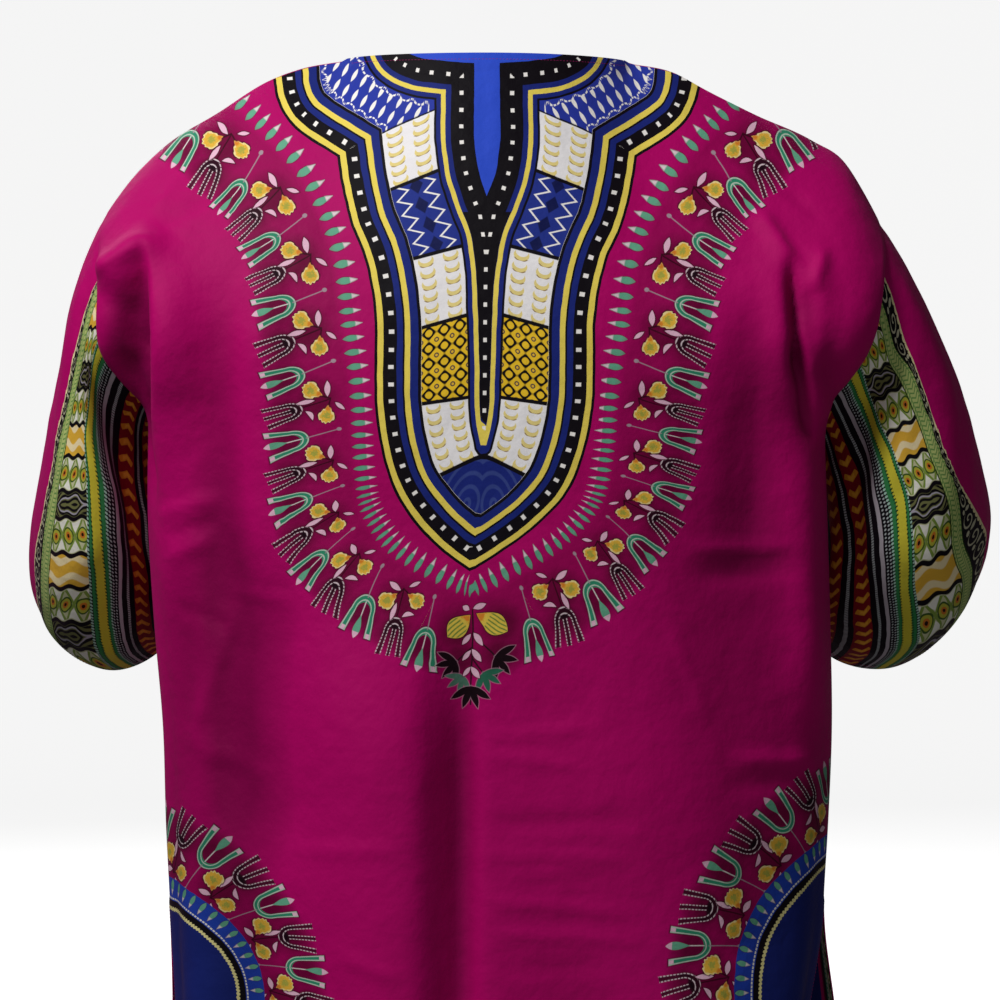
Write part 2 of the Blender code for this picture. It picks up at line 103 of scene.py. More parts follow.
ARMHOLE = table(Armhole, [
    (0, 0, 0, 0), (0.05, 0.001, 0.001, 0.42), (0.15, 0.005, 0.006, 0.72),
    (0.3, 0.01, 0.011, 0.94), (0.45, 0.015, 0.015, 1), (0.6, 0.021, 0.018, 0.95),
    (0.73, 0.023, 0.017, 0.78), (0.87, 0.014, 0.01, 0.46), (0.95, 0.006, 0.004, 0.21),
    (1, 0, 0, 0),
])
print("sections", len(TORSO), "rings", len(LEFT_SLEEVE), len(RIGHT_SLEEVE))

# %% [markdown]
# ## The folds
# Cloth that hangs from two shoulders falls in long soft folds, pinches at the armholes and
# crumples a little where it is sat on or stored. Each row below is one fold: it runs from
# (x0, down0) to (x1, down1), reaches right_width and left_width to each side and rises by
# height, or sinks if the height is negative. The frame has the large folds, and the cloth
# here adds the lesser creases.

# %% Tables of folds
Fold = namedtuple("Fold", "x0 down0 x1 down1 right_width left_width height")
BACK_FOLDS = table(Fold, [
    (0.252, 0.146, 0.3, 0.19, 0.016, 0.014, 0.009),
    (0.281, 0.185, 0.283, 0.275, 0.015, 0.015, -0.009),
    (0.24, 0.17, 0.246, 0.44, 0.022, 0.018, 0.007),
    (0.205, 0.38, 0.2, 0.62, 0.026, 0.024, -0.009),
    (0.1, 0.42, 0.085, 0.868, 0.04, 0.05, 0.008), (0.054, 0.47, 0.052, 0.9, 0.02, 0.05, 0.01),
    (0.0165, 0.47, 0.015, 0.9, 0.009, 0.026, -0.0105),
    (-0.25, 0.186, -0.266, 0.275, 0.014, 0.014, -0.01),
    (-0.246, 0.3, -0.252, 0.52, 0.014, 0.016, 0.007),
])
FRONT_FOLDS = table(Fold, [
    (0.276, 0.185, 0.278, 0.28, 0.016, 0.016, -0.008),
    (-0.258, 0.19, -0.268, 0.28, 0.016, 0.016, -0.008),
    (0.215, 0.2, 0.225, 0.48, 0.024, 0.02, 0.008),
    (-0.205, 0.21, -0.222, 0.5, 0.022, 0.022, 0.007),
    (0.13, 0.42, 0.14, 0.9, 0.036, 0.04, 0.009), (-0.11, 0.44, -0.12, 0.9, 0.04, 0.034, 0.008),
    (0.03, 0.48, 0.035, 0.9, 0.026, 0.03, -0.007),
    (-0.2, 0.56, -0.205, 0.9, 0.024, 0.022, -0.007),
])
BACK_CREASES = table(Fold, [
    (0.26, 0.166, 0.256, 0.345, 0.026, 0.003, 0.007),
    (0.266, 0.164, 0.264, 0.262, 0.004, 0.018, -0.011),
    (0.263, 0.2, 0.259, 0.345, 0.0038, 0.024, -0.011),
    (0.264, 0.16, 0.3, 0.18, 0.004, 0.012, 0.004),
    (0.176, 0.18, 0.174, 0.42, 0.02, 0.014, 0.004),
    (0.207, 0.19, 0.206, 0.42, 0.016, 0.018, -0.005),
    (0.16, 0.41, 0.152, 0.64, 0.022, 0.032, -0.006),
    (0.222, 0.42, 0.228, 0.62, 0.022, 0.014, 0.004),
    (0.256, 0.366, 0.208, 0.35, 0.0045, 0.005, 0.002),
    (0.252, 0.382, 0.212, 0.368, 0.004, 0.0045, -0.0018),
    (0.25, 0.4, 0.216, 0.384, 0.004, 0.0045, 0.0018),
    (0.202, 0.424, 0.146, 0.431, 0.004, 0.005, 0.0015),
    (0.25, 0.436, 0.2, 0.452, 0.005, 0.005, -0.0014),
    (0.195, 0.43, 0.234, 0.54, 0.006, 0.009, 0.0022),
    (0.24, 0.54, 0.17, 0.566, 0.008, 0.008, 0.0014),
    (-0.206, 0.205, -0.208, 0.41, 0.016, 0.026, -0.006),
    (-0.156, 0.393, -0.24, 0.39, 0.006, 0.0035, 0.0024),
    (-0.16, 0.412, -0.244, 0.408, 0.014, 0.006, -0.003),
    (-0.192, 0.553, -0.256, 0.556, 0.006, 0.006, 0.0028),
    (-0.186, 0.572, -0.25, 0.574, 0.009, 0.006, -0.0018),
    (0.004, 0.536, -0.088, 0.526, 0.004, 0.0045, 0.0013),
    (0.006, 0.548, -0.074, 0.557, 0.005, 0.004, 0.0011),
    (0, 0.6, -0.124, 0.597, 0.006, 0.006, -0.0014),
    (0.002, 0.623, -0.104, 0.627, 0.0035, 0.005, 0.0015),
    (-0.02, 0.64, -0.092, 0.634, 0.0035, 0.004, 0.0011),
    (0.004, 0.659, -0.112, 0.668, 0.0045, 0.005, 0.0015),
    (-0.002, 0.684, -0.118, 0.689, 0.0045, 0.005, 0.0015),
    (-0.01, 0.712, -0.096, 0.708, 0.005, 0.005, -0.001),
    (0.152, 0.62, 0.062, 0.617, 0.003, 0.006, 0.0015),
    (0.11, 0.7, 0.06, 0.716, 0.005, 0.006, 0.0014),
    (-0.14, 0.45, -0.17, 0.52, 0.006, 0.006, 0.0013),
    (-0.212, 0.128, -0.24, 0.176, 0.006, 0.009, 0.0045),
    (-0.236, 0.17, -0.243, 0.262, 0.004, 0.007, -0.01),
    (-0.242, 0.23, -0.253, 0.306, 0.004, 0.007, -0.009),
    (-0.256, 0.18, -0.26, 0.29, 0.011, 0.009, 0.005),
    (-0.262, 0.16, -0.251, 0.192, 0.006, 0.0045, 0.003),
    (0.196, 0.1, 0.258, 0.14, 0.008, 0.008, -0.0016),
    (0.23, 0.086, 0.262, 0.128, 0.006, 0.006, 0.0014),
    (-0.18, 0.09, -0.24, 0.112, 0.007, 0.007, 0.0016),
    (-0.2, 0.084, -0.264, 0.136, 0.006, 0.005, -0.0014),
    (-0.236, 0.69, -0.13, 0.715, 0.012, 0.012, -0.0014),
    (0.24, 0.28, 0.218, 0.92, 0.056, 0.026, -0.0085),
    (0.064, 0.43, 0.062, 0.9, 0.03, 0.085, 0.009),
    (0.023, 0.5, 0.0215, 0.9, 0.005, 0.012, -0.003),
    (-0.104, 0.53, -0.11, 0.9, 0.06, 0.05, 0.007),
    (-0.19, 0.3, -0.198, 0.76, 0.05, 0.05, -0.0065),
    (0.262, 0.148, 0.298, 0.182, 0.014, 0.018, 0.004),
    (-0.226, 0.15, -0.232, 0.245, 0.01, 0.016, 0.004),
    (-0.256, 0.15, -0.259, 0.255, 0.01, 0.012, 0.003),
    (0.002, 0.003, 0.002, 0.11, 0.0022, 0.0022, -0.001),
    (-0.006, 0.003, -0.006, 0.09, 0.002, 0.002, 0.0007),
])
FRONT_CREASES = table(Fold, [
    (0.14, 0.48, 0.15, 0.82, 0.014, 0.016, 0.0024),
    (0.09, 0.42, 0.082, 0.64, 0.012, 0.014, -0.0018),
    (-0.12, 0.5, -0.128, 0.86, 0.014, 0.012, 0.0024),
    (-0.07, 0.46, -0.06, 0.7, 0.012, 0.012, -0.0016),
    (0.02, 0.6, 0.016, 0.86, 0.012, 0.016, -0.002),
    (0.214, 0.16, 0.262, 0.214, 0.008, 0.008, 0.0018),
    (0.226, 0.206, 0.258, 0.262, 0.007, 0.007, -0.0018),
    (-0.206, 0.156, -0.254, 0.21, 0.008, 0.008, 0.0018),
    (-0.216, 0.204, -0.252, 0.264, 0.007, 0.007, -0.0018),
    (0.06, 0.17, 0.12, 0.3, 0.012, 0.01, 0.0014),
    (-0.055, 0.175, -0.11, 0.31, 0.01, 0.012, 0.0014),
    (0.18, 0.56, 0.06, 0.585, 0.012, 0.012, 0.0012),
    (-0.04, 0.64, -0.17, 0.66, 0.012, 0.012, -0.0012),
    (0.22, 0.72, 0.11, 0.735, 0.012, 0.014, 0.0012),
])
Crease = namedtuple("Crease", "turn0 along0 turn1 along1 wide long height")
LEFT_CREASES = table(Crease, [
    (40, 0.1, 95, 0.75, 16, 0.3, 0.004), (150, 0.25, 140, 0.62, 14, 0.16, -0.005),
    (250, 0.52, 300, 0.62, 30, 0.07, -0.003),
])
RIGHT_CREASES = table(Crease, [
    (35, 0.12, 85, 0.7, 16, 0.3, 0.004), (145, 0.22, 132, 0.6, 14, 0.16, -0.005),
    (255, 0.5, 295, 0.62, 30, 0.07, -0.003),
])
SLEEVE_CREASES = table(Crease, [
    (62, 0.16, 118, 0.42, 7, 0.05, 0.0016), (20, 0.22, 60, 0.5, 7, 0.05, -0.0013),
    (100, 0.52, 60, 0.66, 9, 0.04, 0.0018), (128, 0.6, 96, 0.72, 9, 0.04, -0.0016),
    (70, 0.74, 120, 0.84, 9, 0.04, 0.0014), (200, 0.44, 250, 0.5, 12, 0.035, 0.002),
    (212, 0.56, 262, 0.6, 12, 0.03, 0.0018), (330, 0.18, 300, 0.46, 8, 0.06, 0.0014),
    (16, 0.62, 30, 0.86, 7, 0.06, -0.0012),
])
print("folds", len(BACK_FOLDS + FRONT_FOLDS), "creases", len(BACK_CREASES + FRONT_CREASES))

# %% [markdown]
# ## From sections to a surface
# A curve through each column of a table gives the size at any height, and a rounded ellipse
# gives the cloth's path round the body there. The sleeve head and the body share one armhole
# seam, so the two surfaces meet along it.

# %% Curves through a table
EDGE_CROWDING = 0.85
FULLNESS = 2.4
ARM_REACH = 4.0
SHOULDER_ROUND = 1.8
NECK_HALF, NECK_BACK, NECK_FRONT, NECK_RISE = 0.112, 0.056, 0.092, -0.003
SLIT_DROP, SLIT_SHARPNESS = 0.150, 1.7
ARMHOLE_FADE, BOW_FADE = 0.42, 0.65


def smooth_curve(places, values, at):
    """A curve through the values, with slopes taken from their neighbours."""
    places, values = np.asarray(places, float), np.asarray(values, float)
    slopes = np.gradient(values, places)
    at = np.clip(at, places[0], places[-1])
    left = np.clip(np.searchsorted(places, at) - 1, 0, len(places) - 2)
    span = places[left + 1] - places[left]
    s = (at - places[left]) / span
    keep = (1 + 2 * s) * (1 - s) ** 2 * values[left]
    reach = s * s * (3 - 2 * s) * values[left + 1]
    rise = s * (1 - s) ** 2 * span * slopes[left]
    fall = s * s * (s - 1) * span * slopes[left + 1]
    return keep + reach + rise + fall


def column(rows, name, at, key):
    return smooth_curve([getattr(r, key) for r in rows], [getattr(r, name) for r in rows], at)


def ease(low, high, value):
    s = np.clip((value - low) / (high - low), 0, 1)
    return s * s * (3 - 2 * s)


def unit(vectors):
    return vectors / np.maximum(np.linalg.norm(vectors, axis=-1, keepdims=True), 1e-12)


def across_share(u):
    s = np.abs(u)
    return (1 - EDGE_CROWDING) * s + EDGE_CROWDING * np.sin(math.pi * s / 2)


print("half width 0.4 m down", round(float(column(TORSO, "left", 0.4, "down")), 4))

# %% [markdown]
# ## A sleeve from rings
# A worn sleeve is a tube that starts as the slanted armhole and ends as a tipped cuff. Each
# ring of the table is an ellipse between an outer and an inner point, and the first rings
# blend from the armhole's own curve, so that body and sleeve share one seam line.

# %% The sleeve's rings
def ring_points(rows, turn, along, bow_name):
    """Points of a sleeve: turn in radians from its outer line, by the back, and along 0 to 1."""
    at = along * (len(rows) - 1)
    index = np.arange(len(rows))
    part = {n: smooth_curve(index, [getattr(r, n) for r in rows], at) for n in Ring._fields}
    outer = np.stack([part["out_x"], part["out_y"], -part["out_down"]], -1)
    inner = np.stack([part["in_x"], part["in_y"], -part["in_down"]], -1)
    tilt = np.radians(part["tilt"])
    backward = np.stack([0 * tilt, np.cos(tilt), -np.sin(tilt)], -1)
    sewn = ease(ARMHOLE_FADE, 0, along)
    half_turn = np.where(turn > math.pi, turn - 2 * math.pi, turn)
    share = np.abs(half_turn) / math.pi
    deep = column(ARMHOLE, "deep", share, "share") * np.sign(half_turn)
    sine = sewn * deep + (1 - sewn) * np.sin(turn)
    cosine = sewn * (1 - 2 * share) + (1 - sewn) * np.cos(turn)
    depth = np.where(half_turn > 0, part["back"], part["front"])
    points = (outer + inner) / 2 + (outer - inner) / 2 * cosine[..., None]
    points = points + backward * (depth * sine)[..., None]
    points[..., 0] += column(ARMHOLE, bow_name, share, "share") * ease(BOW_FADE, 0, along)
    return points


def sleeve_side(left):
    return (LEFT_SLEEVE, "bow_left", 1.0) if left else (RIGHT_SLEEVE, "bow_right", -1.0)


def armhole(left, down_share, face):
    rows, bow_name, sign = sleeve_side(left)
    turn = face * math.pi * down_share
    return ring_points(rows, turn, np.zeros_like(turn), bow_name) * [sign, 1, 1]


print("armhole's low point", armhole(True, np.ones(1), 1)[0].round(4))

# %% [markdown]
# ## A panel from the shoulder to the hem
# Above the armhole's low point a panel hangs between the shoulder line and the two armholes,
# and below it between the side seams. So it is worked out in two parts, which are then
# evened out where they meet, as cloth would be.

# %% The panel between the shoulder line, the armholes and the hem
def neck_edge(x, face):
    """(y, z) of the neckline at x: flat at the back, with the open slit at the front."""
    share = np.clip(np.abs(x) / NECK_HALF, 0, 1)
    corner = np.where(x > 0, SHOULDER[0].drop_left, SHOULDER[0].drop_right)
    if face > 0:
        return NECK_BACK * (1 - share**2) ** 0.7, NECK_RISE * (1 - share**2) - corner * share**2
    drop = SLIT_DROP * (1 - share) ** SLIT_SHARPNESS
    return -NECK_FRONT * (1 - share**2) ** 0.7, -drop - corner * share


def top_edge(x, face):
    y, z = neck_edge(x, face)
    left = column(SHOULDER, "drop_left", np.abs(x), "across")
    right = column(SHOULDER, "drop_right", np.abs(x), "across")
    past = np.abs(x) >= NECK_HALF - 1e-6
    return np.where(past, 0, y), np.where(past, -np.where(x > 0, left, right), z)


def torso_point(u, down, face):
    q = across_share(u)
    side = {n: column(TORSO, n, down, "down") for n in Section._fields}
    half = np.where(u > 0, side["left"], side["right"])
    depth = side["back"] if face > 0 else side["front"]
    y = side["side_y"] + face * depth * np.clip(1 - q**FULLNESS, 0, 1) ** (1 / FULLNESS)
    return np.stack([np.sign(u) * half * q, y, -down], -1)


def upper_point(u, down_share, face):
    q = across_share(u)
    rise = 1 - (1 - down_share) ** SHOULDER_ROUND
    base = torso_point(u, np.full_like(u, TORSO[0].down), face)
    points = np.zeros(u.shape + (3,))
    for left in (True, False):
        sign = 1 if left else -1
        seam = armhole(left, down_share, face)
        top = armhole(left, np.zeros_like(down_share), face)
        under = armhole(left, np.ones_like(down_share), face)
        y0, z0 = top_edge(sign * q * np.abs(top[..., 0]), face)
        x = q * seam[..., 0]
        lift = seam[..., 2] - (1 - down_share) * top[..., 2] - down_share * under[..., 2]
        z = (1 - down_share) * z0 + down_share * base[..., 2] + q * lift
        reach = seam[..., 1] - (1 - rise) * top[..., 1] - rise * under[..., 1]
        y = (1 - rise) * y0 + rise * base[..., 1] + q**ARM_REACH * reach
        here = (u > 0) == left
        points[here] = np.stack([x, y, z], -1)[here]
    return points


print("neck opening", 2 * NECK_HALF, "by", NECK_BACK + NECK_FRONT, "slit", SLIT_DROP)

# %% [markdown]
# ## Laying the folds on the surface
# A fold moves the cloth along its own normal, so a ridge in one place never stretches the
# cloth sideways. It is a long soft bump beside a straight line and fades at both ends. A few
# crossing waves add the slow crumple that all worn cotton has.

# %% One fold and a crumple
CRUMPLE_HIGH, SLEEVE_CRUMPLE_HIGH = 0.0011, 0.0009


def fold_height(points, folds):
    x, down = points[..., 0], -points[..., 2]
    total = np.zeros_like(x)
    for f in folds:
        along = np.array([f.x1 - f.x0, f.down1 - f.down0])
        length = np.linalg.norm(along)
        along = along / length
        step_x, step_down = x - f.x0, down - f.down0
        s = (step_x * along[0] + step_down * along[1]) / length
        away = step_x * along[1] - step_down * along[0]
        width = np.where(away > 0, f.left_width, f.right_width)
        ends = ease(-0.12, 0.25, s) * ease(1.12, 0.75, s)
        total += f.height * np.exp(-((away / width) ** 2)) * ends
    return total


def crumple(x, y, height):
    """A slow uneven swell from a few crossing waves, always the same."""
    waves = ((23, 9, 0.3), (-14, 31, 1.1), (41, -17, 2.2), (8, 52, 4.0), (-37, -44, 5.1))
    swell = sum(np.sin(kx * x + ky * y + p) for kx, ky, p in waves) / len(waves)
    fine = ((96, 61, 0.9), (-71, 118, 2.7), (150, -84, 3.3), (-139, -52, 1.6))
    ripple = sum(np.sin(kx * x + ky * y + p) for kx, ky, p in fine) / len(fine)
    return height * (swell + 0.28 * ripple * (0.5 + 0.5 * swell))


print("crumples rise", CRUMPLE_HIGH * 1000, "mm at most")

# %% [markdown]
# ## The panel before its folds
# The folds push the cloth out along its normals, so the smooth panel comes first. It is a
# grid of points, rows from the top edge down, evened out where its two parts meet.

# %% A panel at rest
HEM_DOWN, VENT_DOWN = 0.868, 0.668
SETTLING, SETTLED_ROWS = 110, 16


def grid_normals(points, outward):
    """Unit normals of a grid of points, turned to the side that outward points to."""
    normals = unit(np.cross(np.gradient(points, axis=0), np.gradient(points, axis=1)))
    return normals * np.sign((normals * outward).sum(-1).mean())


def settled(points, every_u):
    """Evens out the meeting of the two parts, and leaves the sewn edges where they are."""
    rows = ease(0, SETTLED_ROWS, np.arange(len(points)))[:, None]
    free = (ease(1.0, 0.93, np.abs(every_u)) * rows)[..., None]
    for _ in range(SETTLING):
        down_mean = (points[:-2] + points[2:]) / 2 - points[1:-1]
        points[1:-1] += 0.5 * free[1:-1] * down_mean
        across_mean = (points[:, :-2] + points[:, 2:]) / 2 - points[:, 1:-1]
        points[:, 1:-1] += 0.12 * free[:, 1:-1] * across_mean
    return points


def panel_rest(face, half_columns, arm_rows, body_rows):
    """(points with no folds, u) of a panel, rows from the top edge down."""
    u = np.linspace(-1, 1, 2 * half_columns + 1)
    grid_u, share = np.meshgrid(u, np.linspace(0, 1, arm_rows + 1))
    top = upper_point(grid_u, share, face)
    grid_u, share = np.meshgrid(u, np.linspace(0, 1, body_rows + 1)[1:])
    below = torso_point(grid_u, TORSO[0].down + share * (HEM_DOWN - TORSO[0].down), face)
    points = np.concatenate([top, below])
    every_u = np.broadcast_to(u, points.shape[:2])
    return settled(points, every_u), every_u


print("hem", HEM_DOWN, "m down, vents from", VENT_DOWN)

# %% [markdown]
# ## Hem, vents and hanging cloth
# Low down the cloth is free, so the hem waves a little, and below the side seams the vents
# let the back and the front hang apart. How deep each point lies in a deep fold is kept for
# the material, which darkens the cloth's colour there: a painted shade, as little light reaches it.

# %% The panel as it hangs
FOLD_MARGIN, DEEP_FOLD = 0.10, 0.011
HEM_WAVE_START = 0.50
Wave = namedtuple("Wave", "count phase height")
HEM_WAVES = table(Wave, [(3, 0.4, 0.006), (5, 1.9, 0.004)])
Vent = namedtuple("Vent", "back_in back_y front_out front_y")
LEFT_VENT = Vent(0.004, 0.010, 0.002, 0.016)
RIGHT_VENT = Vent(0.018, 0.012, 0.012, 0.018)
VENT_REACH, VENT_SPREAD = 0.45, 0.13


def open_vents(points, every_u, face):
    below = ease(VENT_DOWN, VENT_DOWN + VENT_SPREAD, -points[..., 2])
    pull = below * ease(1 - VENT_REACH, 1, np.abs(every_u))
    for left, vent in ((True, LEFT_VENT), (False, RIGHT_VENT)):
        sign = 1 if left else -1
        side = np.where(points[..., 0] * sign > 0, pull, 0)
        if face > 0:
            points[..., 0] -= sign * vent.back_in * side
            points[..., 1] += vent.back_y * side
        else:
            points[..., 0] += sign * vent.front_out * side
            points[..., 1] -= vent.front_y * side
    return points


def fold_panel(rest, every_u, face):
    """(the panel as it hangs, how deep each point lies in a fold from 0 to 1, which the material
    paints as shade).
    """
    normals = grid_normals(rest, np.array([0, face, 0]))
    big, small = (BACK_FOLDS, BACK_CREASES) if face > 0 else (FRONT_FOLDS, FRONT_CREASES)
    down = -rest[..., 2]
    height = fold_height(rest, big)
    free = ease(HEM_WAVE_START, HEM_DOWN, down)
    for wave in HEM_WAVES:
        turn = wave.count * math.pi * every_u + wave.phase * face
        height = height + wave.height * free * np.sin(turn)
    margin = ease(1, 1 - FOLD_MARGIN, np.abs(every_u))
    margin = margin * ease(0, 0.02, down + np.abs(rest[..., 0]) / 9)
    swell = crumple(rest[..., 0] * (1 + 0.2 * face), down, CRUMPLE_HIGH)
    height = height + (fold_height(rest, small) + swell)
    height = height * margin * (np.arange(rest.shape[0])[:, None] > 0)
    # painted shade: the depth in a fold, 0 to 1, by which the material darkens the cloth's colour
    hollow = np.clip(-height / DEEP_FOLD, 0, 1)
    print("folds from", round(float(height.min()), 4), "to", round(float(height.max()), 4))
    return open_vents(rest + normals * height[..., None], every_u, face), hollow


# %% [markdown]
# ## Creases of a sleeve
# A sleeve creases across the bend of the elbow and in long drags from the shoulder. These
# run at a slant round the tube, so each is laid as a string of soft spots from its start to
# its end, in degrees round the sleeve and shares of its length.

# %% The sleeve as it hangs
BIG_CREASE = 12.5


def sleeve_rest(left, columns, rings):
    """(points, turn, along) of a sleeve, opened along the seam under the arm."""
    rows, bow_name, sign = sleeve_side(left)
    round_it = np.linspace(-math.pi, math.pi, columns + 1)
    turn, along = np.meshgrid(round_it, np.linspace(0, 1, rings + 1))
    wrapped = np.where(turn < 0, turn + 2 * math.pi, turn)
    wrapped[:, 0] = math.pi
    return ring_points(rows, wrapped, along, bow_name) * [sign, 1, 1], turn, along


def fold_sleeve(rest, turn, along, left):
    outward = rest - rest.mean(1, keepdims=True)
    normals = grid_normals(rest, outward)
    normals[:, 0] = normals[:, -1] = unit(normals[:, 0] + normals[:, -1])
    height = np.zeros_like(turn)
    angle = np.degrees(np.where(turn < 0, turn + 2 * math.pi, turn))
    for c in (LEFT_CREASES if left else RIGHT_CREASES) + SLEEVE_CREASES:
        big = c.wide > BIG_CREASE
        steps = np.linspace(0, 1, 9 if big else 15)
        for s in steps:
            off_turn = (angle - c.turn0 - s * (c.turn1 - c.turn0)) / c.wide
            off_along = (along - c.along0 - s * (c.along1 - c.along0)) / c.long
            spot = np.exp(-(off_turn**2) - off_along**2)
            height += c.height * spot / len(steps) * (3 if big else 5)
    height = height * ease(0, 0.12, along)
    swell = crumple(rest[..., 2] * 1.6, turn * 0.07, SLEEVE_CRUMPLE_HIGH)
    height = height + swell * ease(0, 0.1, along)
    height[:, 0] = height[:, -1] = (height[:, 0] + height[:, -1]) / 2
    print("sleeve creases from", round(float(height.min()), 4), "to", round(float(height.max()), 4))
    return rest + normals * height[..., None]


# %% [markdown]
# ## A wall of cloth
# Cotton poplin is a third of a millimetre thick, and a shirt shows that only at its edges,
# where the cloth is turned under and stitched. So each piece is a closed thin wall: an outer
# sheet, the same sheet a little further in, and a rim. Near a turned edge the outer sheet
# stands half a millimetre proud, which is the turned allowance inside it.

# %% Build a wall from a grid
CLOTH_THICK = 0.0008
HEM_TURN, HEM_STEP = 0.012, 0.0005
SHARP_DEGREES = 60
PIECES = {}


def add_object(name, data):
    made = bpy.data.objects.new(name, data)
    bpy.context.scene.collection.objects.link(made)
    return made


def arc_lengths(points, axis):
    steps = np.linalg.norm(np.diff(points, axis=axis), axis=-1)
    zero = np.zeros_like(np.take(steps, [0], axis))
    return np.concatenate([zero, np.cumsum(steps, axis)], axis)


def edge_step(distance):
    """The turned edge's extra height at a distance from the edge."""
    return HEM_STEP * ease(HEM_TURN + 0.0016, HEM_TURN - 0.0010, distance)


def build_wall(name, outer, normals, fields, material_of):
    """A closed wall with point attributes; material_of gives a slot number for each cell."""
    inner = outer - normals * CLOTH_THICK
    rows, columns = outer.shape[:2]
    count = rows * columns
    number = np.arange(count).reshape(rows, columns)
    a, b = number[:-1, :-1].ravel(), number[:-1, 1:].ravel()
    c, d = number[1:, 1:].ravel(), number[1:, :-1].ravel()
    front = np.stack([a, d, c, b], 1)
    middle = (rows // 2, columns // 2)
    step_down = outer[middle[0] + 1, middle[1]] - outer[middle]
    step_across = outer[middle[0], middle[1] + 1] - outer[middle]
    facing = np.cross(step_down, step_across) @ normals[middle]
    if facing < 0:
        front = front[:, ::-1]
    rim = np.concatenate([number[0, :-1], number[:-1, -1], number[-1, :0:-1], number[:0:-1, 0]])
    rim_next = np.roll(rim, -1)
    edge = np.stack([rim, rim_next, count + rim_next, count + rim], 1)
    if facing < 0:
        edge = edge[:, ::-1]
    faces = np.concatenate([front, count + front[:, ::-1], edge])
    mesh = bpy.data.meshes.new(name)
    points = np.concatenate([outer.reshape(-1, 3), inner.reshape(-1, 3)])
    mesh.from_pydata(points.tolist(), [], faces.tolist())
    for field, values in fields.items():
        values = np.asarray(values, np.float32)
        flat = np.zeros((count, 3), np.float32)
        flat[:, : values.shape[-1]] = values.reshape(count, -1)
        layer = mesh.attributes.new(field, "FLOAT_VECTOR", "POINT")
        layer.data.foreach_set("vector", np.concatenate([flat, flat]).ravel())
    slots = material_of.reshape(-1)
    slots = np.concatenate([slots, slots, np.zeros(len(edge), int)])
    mesh.polygons.foreach_set("material_index", slots.astype(np.int32))
    mesh.shade_smooth()
    mesh.set_sharp_from_angle(angle=math.radians(SHARP_DEGREES))
    PIECES[name] = add_object(name, mesh)
    print(name, "faces", len(faces))


# %% [markdown]
# ## Where the print falls
# The cloth is printed before it is cut: a stepped collar and a long tongue in the middle, a
# flower border round it, and a rounded corner at each side of the hem. The print could be
# painted as a picture, but a picture blurs close up. Here each point of the cloth carries a
# few measurements instead, such as how deep it lies inside the tongue's edge and how far
# along that edge, and the materials draw every line and flower from them. The guide lines
# are in millimetres: across from the print's middle line, and down from the shoulder.

# %% Guide lines of the print
DRAWING_DISTANCE = 2.8
DRAWING_MIDDLE = (-0.0104, -0.3536)
Guide = namedtuple("Guide", "across down")
TONGUE_OUTER = table(Guide, [
    (127, -30), (124, 20), (120, 79.2), (115.5, 107.2), (108.4, 134.7), (98, 158.8),
    (91.9, 183.2), (88.5, 212.8), (88.5, 247.2), (87.5, 280), (81.4, 315.2), (69.4, 347.6),
    (48.6, 374), (24.3, 394.8), (0, 411.4),
])
COLLAR_OUTER = table(Guide, [
    (173, -40), (171.5, 8), (170.4, 24), (166.4, 38.4), (157.6, 52.8), (146.4, 62.6),
    (129.6, 73.4), (120, 79.2), (100, 91.5), (60, 116), (0, 153),
])
TONGUE_INNER = table(Guide, [
    (34.8, -40), (34.8, 27.2), (34.6, 72), (31.5, 93.6), (24, 117.6), (14.6, 141.6),
    (10.4, 165.6), (7.8, 207.2), (6.4, 251.2), (4.6, 290.4), (0, 311.6),
])
COLLAR_INNER = table(Guide, [
    (94, -40), (90, 1.6), (85.6, 9), (77.6, 16), (61.6, 23.2), (34.8, 27.2), (10, 29),
    (-10, 30),
])
Border = namedtuple("Border", "across down left_unit right_unit")
FLOWER_BORDER = table(Border, [
    (-48, 437.6, -1.2, -1.5), (0, 456, -0.23, -0.49), (48, 437.6, 0.8, 0.52),
    (92.8, 407.2, 1.86, 1.52), (120, 368.8, 2.95, 2.66), (129.2, 323.2, 4, 3.86),
    (132.6, 273.6, 5, 5), (140.2, 217.6, 6, 6), (149.4, 160, 7, 7), (172.8, 108.8, 8, 8),
    (211.2, 67.2, 9, 9), (250, 30, 9.95, 9.95), (290, -8, 10.9, 10.9),
])
FLOWER_LINE = 48.0
Drift = namedtuple("Drift", "down shift")
MIDDLE_DRIFT = table(Drift, [
    (0, 0), (134, 0.2), (183, 1.2), (280, 2.1), (315, 3), (350, 4.8), (374, 8.2), (395, 11.7),
    (411, 13.2), (456, 12.8), (522, 15), (600, 15),
])
BlockRow = namedtuple("BlockRow", "outer inner")
BLOCK_EDGES = table(BlockRow, [
    (60, 41), (105.2, 89.6), (160.8, 150.4), (216, 205.6), (276.8, 271.7), (334.1, 318.4),
])
COLUMN_OUTSIDE, COLUMN_INSIDE = 37.0, 6.6
Corner = namedtuple("Corner", "down wide high start squeeze")
LEFT_CORNER = Corner(0.738, 0.128, 0.088, 0.42, 0.50)
RIGHT_CORNER = Corner(0.738, 0.128, 0.122, 0.70, 0.12)
CORNER_UNIT = 0.056
VENT_STRIP, VENT_STRIP_DOWN = 0.038, 0.63
print("guide points", len(TONGUE_OUTER + COLLAR_OUTER + TONGUE_INNER + COLLAR_INNER))

# %% [markdown]
# ## Measuring from a guide line
# A printed band keeps its width however its edge bends, so each point needs its distance
# from the edge's curve, and how far along the curve it lies for the dots that are spaced
# there. Both come from the nearest of many short straight steps.

# %% Distance from a guide line
def lengths_of(line):
    """Lengths along a line of points, from its first point to each one."""
    return np.concatenate([[0], np.cumsum(np.linalg.norm(np.diff(line, axis=0), axis=1))])


